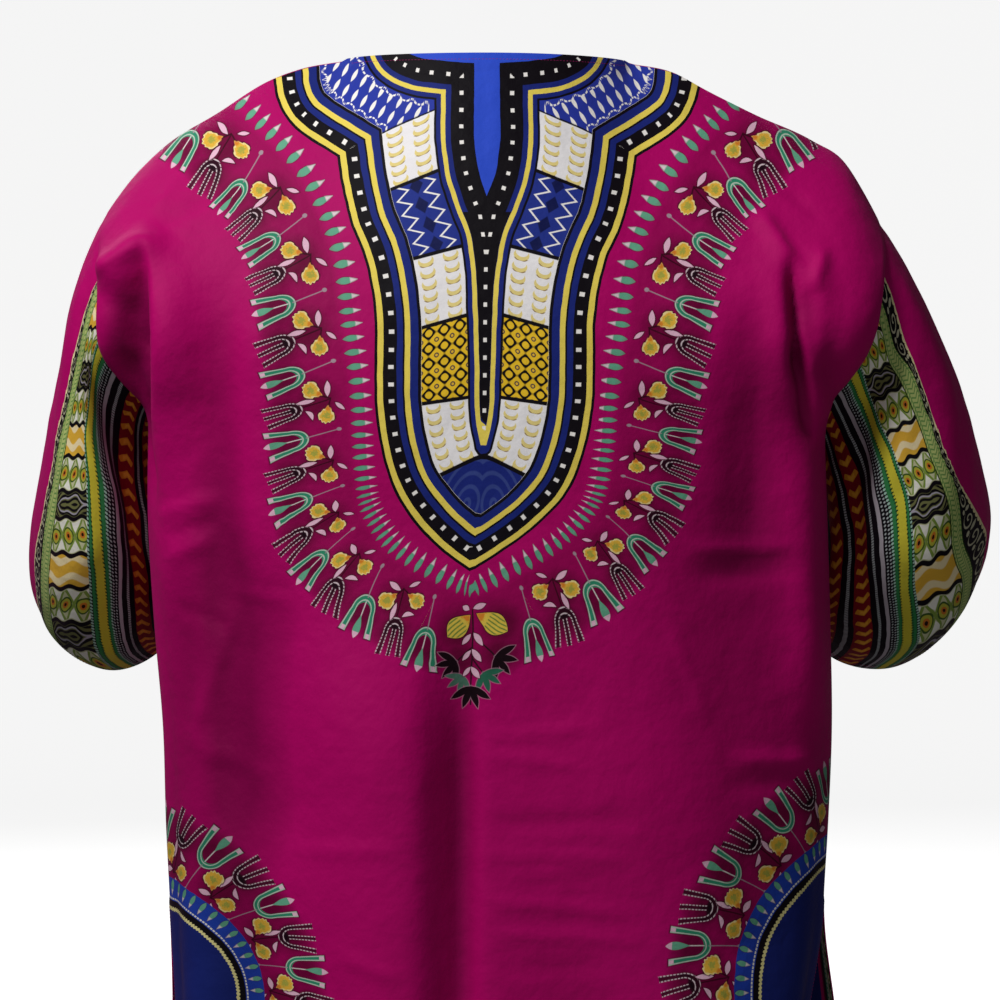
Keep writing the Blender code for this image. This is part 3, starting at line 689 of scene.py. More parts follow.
def smooth_line(rows, steps=24):
    """Points along a smooth curve through the rows, with the lengths along it."""
    places = np.array([[r.across, r.down] for r in rows], float)
    chord = lengths_of(places)
    spans = [np.linspace(a, b, steps, endpoint=False) for a, b in zip(chord, chord[1:])]
    at = np.concatenate([*spans, [chord[-1]]])
    line = np.stack([smooth_curve(chord, places[:, i], at) for i in (0, 1)], 1)
    return line, lengths_of(line), at, chord


def from_line(rows, across, down):
    """Signed distance from a guide line, and the place of the nearest point on it."""
    line, length, at, chord = smooth_line(rows)
    a, b = across.ravel(), down.ravel()
    start, step = line[:-1], np.diff(line, axis=0)
    size = (step**2).sum(1)
    best = np.full(a.shape, 1e9)
    depth, place, row = np.zeros_like(a), np.zeros_like(a), np.zeros_like(a)
    for i in range(len(step)):
        da, db = a - start[i, 0], b - start[i, 1]
        t = np.clip((da * step[i, 0] + db * step[i, 1]) / size[i], 0, 1)
        away = np.hypot(da - t * step[i, 0], db - t * step[i, 1])
        side = np.where(step[i, 0] * db - step[i, 1] * da > 0, 1, -1)
        nearer = away < best
        best = np.where(nearer, away, best)
        depth = np.where(nearer, away * side, depth)
        place = np.where(nearer, length[i] + t * (length[i + 1] - length[i]), place)
        row = np.where(nearer, at[i] + t * (at[i + 1] - at[i]), row)
    row = np.interp(row, chord, np.arange(len(chord)))
    return [values.reshape(across.shape) for values in (depth, place, row)]


print("tongue's edge", smooth_line(TONGUE_OUTER)[1][-1].round(1), "mm long")

# %% [markdown]
# ## What each point of a panel carries
# The materials can only read numbers that the mesh carries, so every point gets its depth
# inside the collar and the tongue, its place in the columns of blocks, and its distance
# from the flower border with a count of the border's repeats.

# %% Places on the print
def drawing_place(points, face):
    """Where a point falls on the print's flat drawing, carried there by lines through one point."""
    grow = DRAWING_DISTANCE / (DRAWING_DISTANCE - face * points[..., 1])
    across = (points[..., 0] - DRAWING_MIDDLE[0]) * grow + DRAWING_MIDDLE[0]
    down = -((points[..., 2] - DRAWING_MIDDLE[1]) * grow + DRAWING_MIDDLE[1])
    return across * 1000, down * 1000


def block_place(depth, inner, down):
    """Share across the block column and the row of blocks, 0 to 5, that a point lies in."""
    outside, inside = depth - COLUMN_OUTSIDE, -inner - COLUMN_INSIDE
    share = outside / np.maximum(outside + inside, 1e-3)
    share = np.clip(share, -0.6, 1.6)
    edges = [e.outer * (1 - share) + e.inner * share for e in BLOCK_EDGES]
    row = np.zeros_like(share)
    for low, high in zip(edges, edges[1:]):
        row += np.clip((down - low) / (high - low), 0, 1)
    row += np.minimum(down - edges[0], 0) / 50 + np.maximum(down - edges[-1], 0) / 50
    return share, row


def corner_place(rest, every_u, face):
    """Distance outside the corner's blue field, and the count of border units round it."""
    across = arc_lengths(rest, 1)
    from_left, from_right = across[:, -1:] - across, across
    down = -rest[..., 2]
    distance, units, nearest = np.zeros((3, *down.shape))
    for left, corner, flat in ((True, LEFT_CORNER, from_left), (False, RIGHT_CORNER, from_right)):
        above = np.maximum(corner.down - down, 0)
        below = np.maximum(down - corner.down, 0)
        share = np.maximum(np.hypot(flat / corner.wide, above / corner.high), 1e-3)
        past = np.hypot(flat, above) * (1 - 1 / share)
        mean = (corner.wide + corner.high) / 2 + 0.02
        round_it = np.arctan2(flat / corner.wide, above / corner.high) * mean + below
        squeezed = 1 + corner.squeeze * ease(0, 0.12, below)
        past = np.where(past > 0, past * squeezed, past)
        here = (every_u > 0) == left
        distance = np.where(here, past * 1000, distance)
        units = np.where(here, corner.start - round_it / CORNER_UNIT, units)
        nearest = np.where(here, flat, nearest)
    return distance, units, nearest


print("blocks in a column", len(BLOCK_EDGES) - 1)

# %% [markdown]
# ## Measurements and zones
# One function gathers the numbers of a panel. It also gives each cell of the grid one of six
# materials, so that a cell of plain ground doesn't work out every flower.

# %% Measurements carried by each point of a panel
PLAIN_INK, NECK_INK, RING_INK, CORNER_INK, TIP_INK, STRIP_INK = range(6)
RING_FROM, RING_TO, CORNER_TO = 3, 112, 74
CORNERS_DOWN, TIP_HALF, TIP_DOWN = 0.55, 46, 430


def panel_fields(rest, every_u, face):
    """Every measurement that the panel's materials read, and the material slot of each cell."""
    x, down = drawing_place(rest, face)
    shift = column(MIDDLE_DRIFT, "shift", down, "down") if face > 0 else np.zeros_like(x)
    side = x - shift
    across = np.abs(side)
    collar_out = from_line(COLLAR_OUTER, across, down)
    tongue_out = from_line(TONGUE_OUTER, across, down)
    collar_in = from_line(COLLAR_INNER, across, down)
    tongue_in = from_line(TONGUE_INNER, across, down)
    depth = np.maximum(collar_out[0], tongue_out[0])
    inner = np.maximum(collar_in[0], tongue_in[0])
    share, row = block_place(depth, inner, down)
    away, _, place = from_line(FLOWER_BORDER, across, down)
    ring_v = away + FLOWER_LINE
    rows = np.arange(len(FLOWER_BORDER))
    left_k = np.interp(place, rows, [g.left_unit for g in FLOWER_BORDER])
    right_k = np.interp(place, rows, [g.right_unit for g in FLOWER_BORDER])
    ring_k = np.where(side > 0, left_k, right_k)
    corner_v, corner_k, seam = corner_place(rest, every_u, face)
    in_corner = -rest[..., 2] > CORNERS_DOWN
    border_k = np.where(in_corner, corner_k, ring_k)
    border_v = np.where(in_corner, corner_v, ring_v)
    fields = {
        "drawing": np.stack([side, down, seam * 1000], -1),
        "collar_edge": np.stack([collar_out[0], collar_out[1], collar_in[0]], -1),
        "tongue_edge": np.stack([tongue_out[0], tongue_out[1], tongue_in[0]], -1),
        "inner_edge": np.stack([collar_in[1], tongue_in[1], inner], -1),
        "blocks": np.stack([share, row, depth], -1),
        "border": np.stack([border_k, border_v, 0 * border_k], -1),
    }

    def cells(values, pick):
        stack = np.stack([values[:-1, :-1], values[1:, :-1], values[:-1, 1:], values[1:, 1:]])
        return pick(stack, 0)

    above = ~cells(in_corner, np.any)
    slots = np.full(above.shape, PLAIN_INK)
    ring = (cells(ring_v, np.max) > RING_FROM) & (cells(ring_v, np.min) < RING_TO) & above
    slots[ring] = RING_INK
    slots[(cells(corner_v, np.min) < CORNER_TO) & cells(in_corner, np.all)] = CORNER_INK
    slots[ring & (cells(across, np.min) < TIP_HALF) & (cells(down, np.min) > TIP_DOWN)] = TIP_INK
    slots[(cells(depth, np.max) > -1.0) & above] = NECK_INK
    if face < 0:
        low = cells(-rest[..., 2], np.min) > VENT_STRIP_DOWN
        slots[(cells(seam, np.min) < VENT_STRIP) & low] = STRIP_INK
    print("cells of each material", np.bincount(slots.ravel()).tolist())
    return fields, slots


# %% [markdown]
# ## Turned edges and sewn edges
# A turned edge stands a little proud, because the cloth is double there, and a sewn edge
# dips, because the thread pulls it in. Both follow from each point's distance from the
# piece's edges. A real panel is cut flat, so its flat width and length are measured here
# along the finished surface, with its folds.

# %% Turned and sewn edges
SEAM_DIP, SEAM_DIP_WIDE = 0.0011, 0.006
SEAM_CLEAR = 0.004
FLAT_SIZES = {}


def edge_distances(rest, every_u):
    """Distances from the turned edges and from the sewn edges, in metres."""
    down_length, across_length = arc_lengths(rest, 0), arc_lengths(rest, 1)
    down = -rest[..., 2]
    from_side = np.minimum(across_length, across_length[:, -1:] - across_length)
    from_bottom = down_length[-1:] - down_length
    at_neck = np.abs(rest[:1, :, 0]) < NECK_HALF
    turned = np.minimum(from_bottom, np.where(down > VENT_DOWN, from_side, 1.0))
    turned = np.minimum(turned, np.where(at_neck, down_length, 1.0))
    sewn = np.where(down > VENT_DOWN, 1.0, from_side)
    sewn = np.minimum(sewn, np.where(at_neck, 1.0, down_length))
    return turned, sewn


def draw_in(points, distance):
    """Cloth dips where a seam holds it, towards one line, so that both sides stay joined."""
    x, y, z = points[..., 0], points[..., 1], points[..., 2]
    target = np.stack([np.clip(x, -0.2, 0.2), 0 * y + 0.01, np.minimum(z, -0.12)], -1)
    dip = SEAM_DIP * np.exp(-((distance / SEAM_DIP_WIDE) ** 2))
    return points + unit(target - points) * dip[..., None]


def measure_flat(name, grid, sized_by):
    """The widest and longest way across a grid, and the area of one side of its cloth."""
    wide, long = arc_lengths(sized_by, 1)[:, -1].max(), arc_lengths(sized_by, 0)[-1].max()
    a, b = np.diff(grid, axis=0)[:, :-1], np.diff(grid, axis=1)[:-1]
    area = np.linalg.norm(np.cross(a, b), axis=-1).sum()
    FLAT_SIZES[name] = (wide, long, area)
    print(name, "flat", [round(float(v), 4) for v in FLAT_SIZES[name]])


print("seam dips", SEAM_DIP * 1000, "mm")

# %% [markdown]
# ## The two panels
# With rest shape, folds, edges and measurements at hand, a panel is a few steps in a row,
# the same for the back and the front. The back gets the finer grid.

# %% The two panels
def make_panel(name, face, half_columns, arm_rows, body_rows):
    rest, every_u = panel_rest(face, half_columns, arm_rows, body_rows)
    hung, hollow = fold_panel(rest, every_u, face)
    turned, sewn = edge_distances(rest, every_u)
    normals = grid_normals(hung, np.array([0, face, 0]))
    step = edge_step(turned) * (sewn > SEAM_CLEAR)
    hung = draw_in(hung, sewn) + normals * step[..., None]
    fields, slots = panel_fields(rest, every_u, face)
    fields["cloth"] = np.stack([arc_lengths(rest, 1) - 0.35, arc_lengths(rest, 0), turned], -1)
    # the fold depth that the material paints as shade in the cloth's colour
    fields["hollow"] = hollow[..., None]
    build_wall(name, hung, normals, fields, slots)
    measure_flat(name, hung, hung)
    return rest, hung


PANEL_LINES = {
    "back": make_panel("back_cloth", 1, half_columns=92, arm_rows=84, body_rows=128),
    "front": make_panel("front_cloth", -1, half_columns=66, arm_rows=60, body_rows=92),
}

# %% [markdown]
# ## The sleeves
# Each sleeve is a wide tube sewn to the body all round. Its cloth is cut along the printed
# border, so the border runs down the arm, from the seam to the turned cuff. The cloth bends
# and gathers on the arm, so the print's lines wander: each row below gives how far round
# from the sleeve's outer line four of them lie, at a distance from the seam, in millimetres.

# %% Guide lines of the sleeves
PrintLines = namedtuple("PrintLines", "along first lace stripe chevrons")
LEFT_PRINT = table(PrintLines, [
    (0, 88, 90.5, 143, 196), (30, 86.8, 90, 131.6, 190), (60, 84, 88, 120, 186),
    (100, 75.5, 79.5, 105, 177), (140, 67.5, 72, 108.9, 167), (180, 60, 65, 114.6, 161.5),
    (220, 51, 58, 118, 152), (265, 37.5, 52, 115.9, 143), (300, 33, 50, 113, 139),
    (378, 22, 42, 110, 132),
])
RIGHT_PRINT = table(PrintLines, [
    (0, 80, 100, 164, 210), (30, 89.4, 104, 160, 206), (60, 91, 95, 153.5, 199.5),
    (100, 91.5, 93.5, 138.5, 189), (140, 88, 90, 130.5, 178), (180, 76, 81, 132, 172.5),
    (220, 56, 80, 131, 163), (265, 31, 62, 122, 149), (300, 26, 54, 114, 141),
    (378, 22, 46, 108, 130),
])
PRINT_PLACES = (0.0, 22.0, 91.5, 133.0)
Figures = namedtuple("Figures", "start lean grow")
LEFT_FIGURES, RIGHT_FIGURES = Figures(305.6, 0.0, 1.0), Figures(508.0, -0.6, 0.868)
BORDER_FROM, BORDER_TO = -8, 190


def print_place(across, along, lines):
    """The place across the printed border, from piecewise straight steps between the lines."""
    c = [column(lines, name, along, "along") for name in PrintLines._fields[1:]]
    place = across - c[0]
    for i in range(3):
        low, high = PRINT_PLACES[i], PRINT_PLACES[i + 1]
        share = (across - c[i]) / np.maximum(c[i + 1] - c[i], 1.0)
        place = np.where(share > 0, low + share * (high - low), place)
    return np.where(across > c[3], PRINT_PLACES[3] + (across - c[3]), place)


print("sleeve guide rows", len(LEFT_PRINT), len(RIGHT_PRINT))

# %% [markdown]
# ## Cutting the sleeves
# Each sleeve is one cut that is sewn to a tube along the underarm. The grid of its points
# starts and ends at that seam, and the wall is built on it just as on a panel.

# %% Cut and place the sleeves
def make_sleeve(name, left, columns, rings):
    rest, turn, along = sleeve_rest(left, columns, rings)
    hung = fold_sleeve(rest, turn, along, left)
    outward = hung - hung.mean(1, keepdims=True)
    normals = grid_normals(hung, outward)
    normals[:, 0] = normals[:, -1] = unit(normals[:, 0] + normals[:, -1])
    round_it, down_it = arc_lengths(rest, 1), arc_lengths(rest, 0)
    turned = down_it[-1:] - down_it
    hung = draw_in(hung, down_it) + normals * edge_step(turned)[..., None]
    across = (round_it - round_it[:, columns // 2][:, None]) * 1000
    across = print_place(across, down_it * 1000, LEFT_PRINT if left else RIGHT_PRINT)
    row = LEFT_FIGURES if left else RIGHT_FIGURES
    drawn_x, drawn_down = drawing_place(rest, 1)
    figures = (drawn_down + row.lean * drawn_x - row.start) * row.grow
    fields = {
        "border": np.stack([across, down_it * 1000, figures], -1),
        "cloth": np.stack([round_it, down_it, turned], -1),
    }
    slots = np.zeros((rings, columns), int)
    high = np.maximum(across[:-1, :-1], across[:-1, 1:])
    low = np.minimum(across[:-1, :-1], across[:-1, 1:])
    slots[(high > BORDER_FROM) & (low < BORDER_TO)] = 1
    build_wall(name, hung, normals, fields, slots)
    measure_flat(name, hung, rest)
    return hung


left_hung = make_sleeve("left_sleeve_cloth", True, columns=150, rings=130)
right_hung = make_sleeve("right_sleeve_cloth", False, columns=150, rings=130)

# %% [markdown]
# ## Arithmetic that paints
# A material is a small sum worked out at every point. Wrapping a node's socket in a class with
# + - * / lets the drawing be written as it would be on paper: a shape is a number that is
# below zero inside its outline, and painting is mixing a colour over another where that
# number says so. Lengths are in millimetres.

# %% Sockets that add and multiply
class Flow:
    """One socket of a material's node tree."""

    def __init__(self, tree, socket):
        self.tree, self.socket = tree, socket

    def node(self, kind, settings, inputs, out=0):
        """A new node: its settings first, then values or links, by identifier or place."""
        made = self.tree.nodes.new(kind)
        for name, value in settings.items():
            setattr(made, name, value)
        sockets = {s.identifier: s for s in made.inputs}
        for key, value in inputs.items():
            socket = made.inputs[key] if isinstance(key, int) else sockets[key]
            if isinstance(value, Flow):
                self.tree.links.new(value.socket, socket)
            else:
                socket.default_value = value
        outs = {s.identifier: s for s in made.outputs}
        return Flow(self.tree, made.outputs[out] if isinstance(out, int) else outs[out])

    def maths(self, operation, *others, clamp=False):
        settings = {"operation": operation, "use_clamp": clamp}
        return self.node("ShaderNodeMath", settings, dict(enumerate((self, *others))))

    def __add__(self, other):
        return self.maths("ADD", other)

    def __sub__(self, other):
        return self.maths("SUBTRACT", other)

    def __rsub__(self, other):
        return self.maths("MULTIPLY_ADD", -1.0, other)

    def __mul__(self, other):
        return self.maths("MULTIPLY", other)

    def __truediv__(self, other):
        return self.maths("DIVIDE", other)

    def __abs__(self):
        return self.maths("ABSOLUTE")

    __radd__, __rmul__ = __add__, __mul__

    def apart(self):
        """The three numbers of a vector."""
        split = self.node("ShaderNodeSeparateXYZ", {}, {0: self})
        return [Flow(self.tree, s) for s in split.socket.node.outputs]

    def field(self, name):
        found = self.node("ShaderNodeAttribute", {"attribute_name": name}, {}, "Vector")
        return found.apart()

    def wrapped(self, pitch, start=0.0):
        """Distance from the nearest of marks that repeat at a pitch."""
        return (self - start).maths("WRAP", pitch / 2, -pitch / 2)

    def inside(self, soft=0.35):
        """1 where the number is below zero and 0 above it, with a soft edge."""
        return self.maths("MULTIPLY_ADD", -1.0 / soft, 0.5, clamp=True)

    def under(self, above, mask):
        """This colour with another painted over it where the mask is 1."""
        inputs = {"Factor_Float": mask, "A_Color": self, "B_Color": above}
        return self.node("ShaderNodeMix", {"data_type": "RGBA"}, inputs, "Result_Color")

    def noise(self, place, scale, detail=1.0):
        inputs = {"Vector": place, "Scale": scale, "Detail": detail}
        return self.node("ShaderNodeTexNoise", {"noise_dimensions": "3D"}, inputs, "Fac")

    def place(self):
        return self.node("ShaderNodeTexCoord", {}, {}, "Object")

    def wobble(self, scale, size):
        """A slow uneven shift, so that no printed edge is ruled."""
        return (self.noise(self.place(), scale) - 0.5) * size

    def flat(self, code):
        """One plain colour."""
        made = self.node("ShaderNodeRGB", {}, {})
        made.socket.default_value = ink(code)
        return made

    def over(self, code, shape, soft=0.35, share=1.0):
        """This colour with a shape painted over it in one ink."""
        mask = shape.inside(soft)
        return self.under(ink(code), mask * share if share < 1.0 else mask)


print("methods of a socket", len([name for name in vars(Flow) if callable(vars(Flow)[name])]))

# %% [markdown]
# ## Simple shapes
# Each shape below is a distance in millimetres from its outline, less than zero inside it.
# The larger of two such numbers is the part they share, and the smaller is the two together,
# so a few discs, leaves and bars are enough for every flower of the print.

# %% Shapes
def both(first, *others):
    """The part that all of the shapes share."""
    for other in others:
        first = first.maths("MAXIMUM", other)
    return first


def either(first, *others):
    """All of the shapes together."""
    for other in others:
        first = first.maths("MINIMUM", other)
    return first


def turned(x, y, degrees):
    c, s = math.cos(math.radians(degrees)), math.sin(math.radians(degrees))
    return y.maths("MULTIPLY_ADD", s, x * c), x.maths("MULTIPLY_ADD", -s, y * c)


def reach(x, y):
    return y.maths("MULTIPLY_ADD", y, x * x).maths("SQRT")


def disc(x, y, radius):
    return reach(x, y) - radius


def leaf(x, y, long, wide):
    """An almond shape along x, of half length long and half width wide."""
    return (x * x).maths("MULTIPLY_ADD", wide / long**2, abs(y) - wide)


def drop(x, y, long, wide, lean):
    """A leaf that is fuller towards its far end."""
    body = (x * x).maths("MULTIPLY_ADD", -wide / long**2, wide)
    return both(abs(y) - body * x.maths("MULTIPLY_ADD", lean / long, 1.0), abs(x) - long)


def block(x, y, half_x, half_y):
    return both(abs(x) - half_x, abs(y) - half_y)


def bar(x, y, x0, y0, x1, y1, half):
    """A straight stroke from one point to another."""
    dx, dy = x1 - x0, y1 - y0
    length = math.hypot(dx, dy)
    a, b = turned(x - (x0 + x1) / 2, y - (y0 + y1) / 2, math.degrees(math.atan2(dy, dx)))
    return block(a, b, length / 2, half)


print("shapes", [f.__name__ for f in (disc, leaf, drop, block, bar)])

# %% [markdown]
# ## Inks
# Screen printing lays a few flat inks side by side. The ground is magenta; black, navy and
# yellow make the bands, and a few greens and pinks the flowers. An ink is written as six
# hexadecimal digits, and stripes of ink are cut from one ramp with hard steps.

# %% Inks
MAGENTA, MAROON = "b20064", "5c002c"
BLACK, NAVY, BLUE, ROYAL = "0d0a10", "1a2878", "2a3aa2", "2d4ecc"
YELLOW, CREAM, WHITE = "ecd55c", "f1ecdc", "f6f2ee"
MINT, GREEN, PALE = "66aa8c", "1f7f60", "e6b9cf"


def ink(code):
    """The linear colour of six hexadecimal digits."""
    parts = [int(code[i : i + 2], 16) / 255 for i in (0, 2, 4)]
    return (*[p / 12.92 if p < 0.04045 else ((p + 0.055) / 1.055) ** 2.4 for p in parts], 1.0)


def bands(value, low, high, rows):
    """Flat colours in bands, each from its start to the next one's."""
    node = value.tree.nodes.new("ShaderNodeValToRGB")
    ramp = node.color_ramp
    ramp.interpolation = "CONSTANT"
    for place, (start, code) in enumerate(rows):
        position = max(0.0, (start - low) / (high - low))
        spot = ramp.elements[0] if place == 0 else ramp.elements.new(position)
        spot.position, spot.color = position, ink(code)
    ramp.elements.remove(ramp.elements[-1])
    scaled = value.maths("MULTIPLY_ADD", 1 / (high - low), -low / (high - low))
    value.tree.links.new(scaled.socket, node.inputs[0])
    return Flow(value.tree, node.outputs[0])


print("magenta in linear light", [round(part, 3) for part in ink(MAGENTA)])

# %% [markdown]
# ## The flower border
# One repeat holds two blossoms on a short stalk, four pale leaves, a dark three-pronged
# sprig and a green one. The same drawing goes round the neck and round both corners of the
# hem, where it is squeezed towards the corner.

# %% Sprigs
BORDER_UNIT = 55.7
SPRIG_FLARE = 0.018


def sprig(x, y, half, long, flare, bend=11.0):
    """Distance from the line of a round-crowned fork, its own half width away from its axis."""
    past = (x - bend).maths("MINIMUM", 0.0) * (half / bend)
    widening = (x - bend).maths("MAXIMUM", 0.0).maths("MULTIPLY_ADD", flare, 1.0)
    return reach(past, y / widening), both(x - long, -1.0 * x - 3)


def paint_green_sprig(colour, x, y, spread):
    half = 7.2 * spread
    round_it, ends = sprig(x, y, half, 31.0, SPRIG_FLARE / spread**3)
    line = abs(round_it - half)
    body = both(line - 1.35, ends)
    crown = both(abs(round_it - half + 1.2) - 2.0 + (x - 1.0) * 0.16, x - 13)
    blade = drop(x - 24.0, y, 9.6, 2.5, 0.50)
    stalk = block(x - 12, y, 9.0, 0.40)
    colour = colour.over(BLACK, both(line - 2.1, ends - 1.0), 1.2, 0.85)
    colour = colour.over("2f8a6a", either(body, crown))
    rims = both(abs(line - 1.35) - 0.34, ends)
    colour = colour.over("c3d2c2", rims, 0.5)
    colour = colour.over("d9d3d0", stalk)
    colour = colour.over(MINT, blade)
    tips = either(both(line - 1.0, ends, 27.0 - x), both(blade, 28.5 - x))
    return colour.over(PALE, tips)


def paint_dark_sprig(colour, x, y, spread):
    half = 6.6 * spread
    round_it, ends = sprig(x, y, half, 28.0, SPRIG_FLARE / spread**3)
    line = abs(round_it - half)
    crown = both(round_it - half + 0.4, x - 8.0 + abs(y) * 0.4)
    middle = block(x - 17.5, y, 11.0, 1.3)
    prong = either(both(line - 1.4, ends), middle)
    colour = colour.over("4c0a2a", either(prong, crown))
    colour = colour.over("14040e", both(either(prong, crown), x - 12.0), 5.0)
    middle_rims = both(abs(abs(y) - 1.4) - 0.34, abs(x - 17.5) - 11)
    rims = either(both(abs(line - 1.4) - 0.34, ends), middle_rims)
    stitch = abs(x.wrapped(2.6)) - 0.85
    return colour.over("d8c6cc", both(rims, stitch))


print("sprigs flare by", SPRIG_FLARE, "for each mm")

# %% [markdown]
# ## Blossoms on a stalk
# A blossom is a yellow drop with a rippled edge, a green heart and an orange base. Two of
# them share a stalk with four pale leaves and the dark sprig.

# %% Blossoms
def paint_blossom(colour, x, y, long, wide, mottle):
    """A yellow blossom: x points from its base to its open end."""
    ripple = (y * 2.1).maths("SINE") * 0.55
    shape = drop(x + ripple, y, long, wide, 0.55)
    colour = colour.over("3d0a1c", shape - 1.1, 1.2, 0.8)
    colour = colour.over("f0dc9a", shape)
    colour = colour.over("e3b23f", shape + 1.3 + mottle * 2.0, 1.2)
    heart = disc(x - 1.0, y, 2.8) + mottle * 7.0
    colour = colour.over("9aa648", heart, 1.6, 0.8)
    base = disc(x + long * 0.80, y, 2.7)
    return colour.over("d9822a", both(base, shape), 1.5)


def paint_stalk_group(colour, k, out, mottle, spread, far):
    """Two blossoms, four pale leaves and a dark sprig on one stalk."""
    up = k.wrapped(1.0) * BORDER_UNIT + far
    strokes = ((0, 0, 26, -6.4, 0.55), (0, 1, 2.5, -8, 0.6), (0, 0, 9, 4, 0.7))
    colour = colour.over("3a0018", either(*[bar(out, up, *stroke) for stroke in strokes]), 0.7)
    x, y = turned(out - 25.7, up + 6.6, -17)
    colour = paint_dark_sprig(colour, x, y, spread)
    x, y = turned(out - 16.6, up + 12.8, 56)
    leaves = either(
        leaf(up - 8.2, (out - 1.8) + (up - 8.2) * 0.1, 6.2, 2.4),
        leaf(out - 20.4, up + 1.0 + (out - 20.4) * 0.12, 7.4, 1.9),
        leaf(x, y + x * x * 0.06, 5.2, 1.8),
        leaf(*turned(out + 6.8, up + 6.6, 42), 4.9, 1.6),
    )
    colour = colour.over("3d0a1c", leaves - 0.9, 0.9, 0.7)
    colour = colour.over(PALE, leaves)
    x, y = turned(out - 14.2, up - 7.6, 30)
    colour = paint_blossom(colour, x, y, 8.6, 6.6 * spread, mottle)
    x, y = turned(out - 3.8, up + 13.4, -78)
    return paint_blossom(colour, x, y, 8.0 * spread, 6.4, mottle)


print("a stalk's group has", paint_stalk_group.__doc__.lower())

# %% [markdown]
# ## One repeat of the border
# The repeat is drawn from the back to the front: a darker ground round the flowers, the
# green sprig with its stem and seed, then the stalk group. A row of mint drops lies inside it.

# %% One repeat
def paint_flowers(colour, k, out, mottle, spread=1.0, far=0.0):
    """One repeat of the border: k counts repeats and out is the distance from the stalk's node."""
    up = k.wrapped(1.0) * BORDER_UNIT
    up2 = k.wrapped(1.0, -0.66) * BORDER_UNIT
    near = either(
        disc(out - 12.0, up + 1.0, 16.0),
        disc(out - 34.0, up + 9.0, 13.0),
        disc(out - 34.0, up2, 13.0),
    )
    colour = colour.over("880048", abs(out - 16.0) - 32.0, 8.0, 0.6)
    colour = colour.over(MAROON, near, 14.0, 0.8)
    x, y = turned(out - 21.2, up2 - 3.2, -12)
    colour = paint_green_sprig(colour, x, y, spread)
    stem = bar(out, up2, 21.0, 3.2, -4.5, 9.8, 0.38)
    seed = disc(out + 5.6, (up2 - 10.1) * 1.3, 2.0)
    colour = colour.over("a78f9c", either(stem, seed), 0.6)
    return paint_stalk_group(colour, k, out, mottle, spread, far)


def paint_dashes(colour, up, middle, half, wide):
    """A row of mint drops, fat outside and pale at the inner tip."""
    shape = drop(middle, up, half, wide, 0.50)
    colour = colour.over("50102e", shape - 0.6, 0.9, 0.6)
    colour = colour.over(MINT, shape)
    return colour.over("e3cfd6", both(shape, middle + half * 0.35), 1.2)


print("one repeat is", BORDER_UNIT, "mm long")

# %% [markdown]
# ## The tip's own flowers
# Below the tongue's point stands a group of its own: two striped flowers on a stem, pale
# leaves and dark clusters. Each leaf and cluster is a row of a table.

# %% The spray
Blade = namedtuple("Blade", "x down slant long wide code")
SPRAY = table(Blade, [
    (-7.3, -6.5, 20, 5.5, 2.3, PALE), (3.6, -5, 150, 3, 2.2, PALE),
    (-6, 20, 128, 6.4, 2.4, PALE), (-5, 33, 128, 6.4, 2.3, PALE),
    (-4.6, 46.5, 128, 6, 2.2, PALE), (3.4, 20, 52, 5.4, 1.9, PALE), (3, 33, 52, 5.4, 1.8, PALE),
    (2.4, 46, 52, 5, 1.7, PALE),
])
Flower = namedtuple("Flower", "x down slant long wide")
STRIPED = table(Flower, [(-17, 6.5, 150, 17, 8.4), (9.6, 9.5, 44, 15, 7.8)])
Cluster = namedtuple("Cluster", "x down slant size code")
CLUSTERS = table(Cluster, [
    (-20, 34, -152, 17, "16060e"), (-11, 47, -130, 15, "2a6a52"), (11, 38, -30, 15.5, "16060e"),
    (5, 50, -55, 13.5, "4f7a68"), (-1.5, 58, -90, 17, "16060e"),
])


def paint_spray(colour, side, down, mottle):
    """The tip's own group: two striped flowers, a stem with pale leaves and dark clusters."""
    stem = bar(side, down, -1.5, -4, -1.5, 73, 0.6)
    for c in CLUSTERS:
        stem = either(stem, bar(side, down, c.x, c.down, -1.5, c.down - abs(c.x) * 0.8 - 3, 0.6))
    colour = colour.over("2a0a18", stem, 0.6)
    for c in CLUSTERS:
        x, y = side - c.x, down - c.down
        turns = [turned(x, y, -c.slant + part) for part in (-58, -20, 20, 58)]
        size = c.size
        fan = either(*[leaf(a - size * 0.52, b, size * 0.56, size * 0.16) for a, b in turns])
        colour = colour.over("b98fa2", abs(fan - 0.3) - 0.35, 0.5, 0.6)
        colour = colour.over(c.code, fan)
    for b in SPRAY:
        x, y = turned(side - b.x, down - b.down, b.slant)
        shape = leaf(x, y, b.long, b.wide)
        colour = colour.over("3d0a1c", shape - 0.8, 0.8, 0.7)
        colour = colour.over(b.code, shape)
    for f in STRIPED:
        x, y = turned(side - f.x, down - f.down, f.slant)
        shape = drop(x, y, f.long * 0.84, f.wide, 0.35)
        colour = colour.over("2a0a18", shape - 0.9, 0.9, 0.8)
        colour = colour.over("e2c54e", shape)
        stripe = abs((y + (x * 0.25).maths("SINE") * 0.5).wrapped(3.1)) - 0.55
        colour = colour.over("6f8a3c", both(stripe, shape + 0.6, -4.0 - x), 0.6)
        colour = colour.over("df8a2e", both(shape + 0.3, x + f.long * 0.45 + mottle * 5), 1.5)
    return colour


print("leaves", len(SPRAY), "clusters", len(CLUSTERS), "flowers", len(STRIPED))

# %% [markdown]
# ## The collar and the tongue
# Round the neck the print is a set of bands that follow two edges, an outer and an inner one.
# Between them stand blocks in five designs, and over the shoulders a row of leaves on blue.

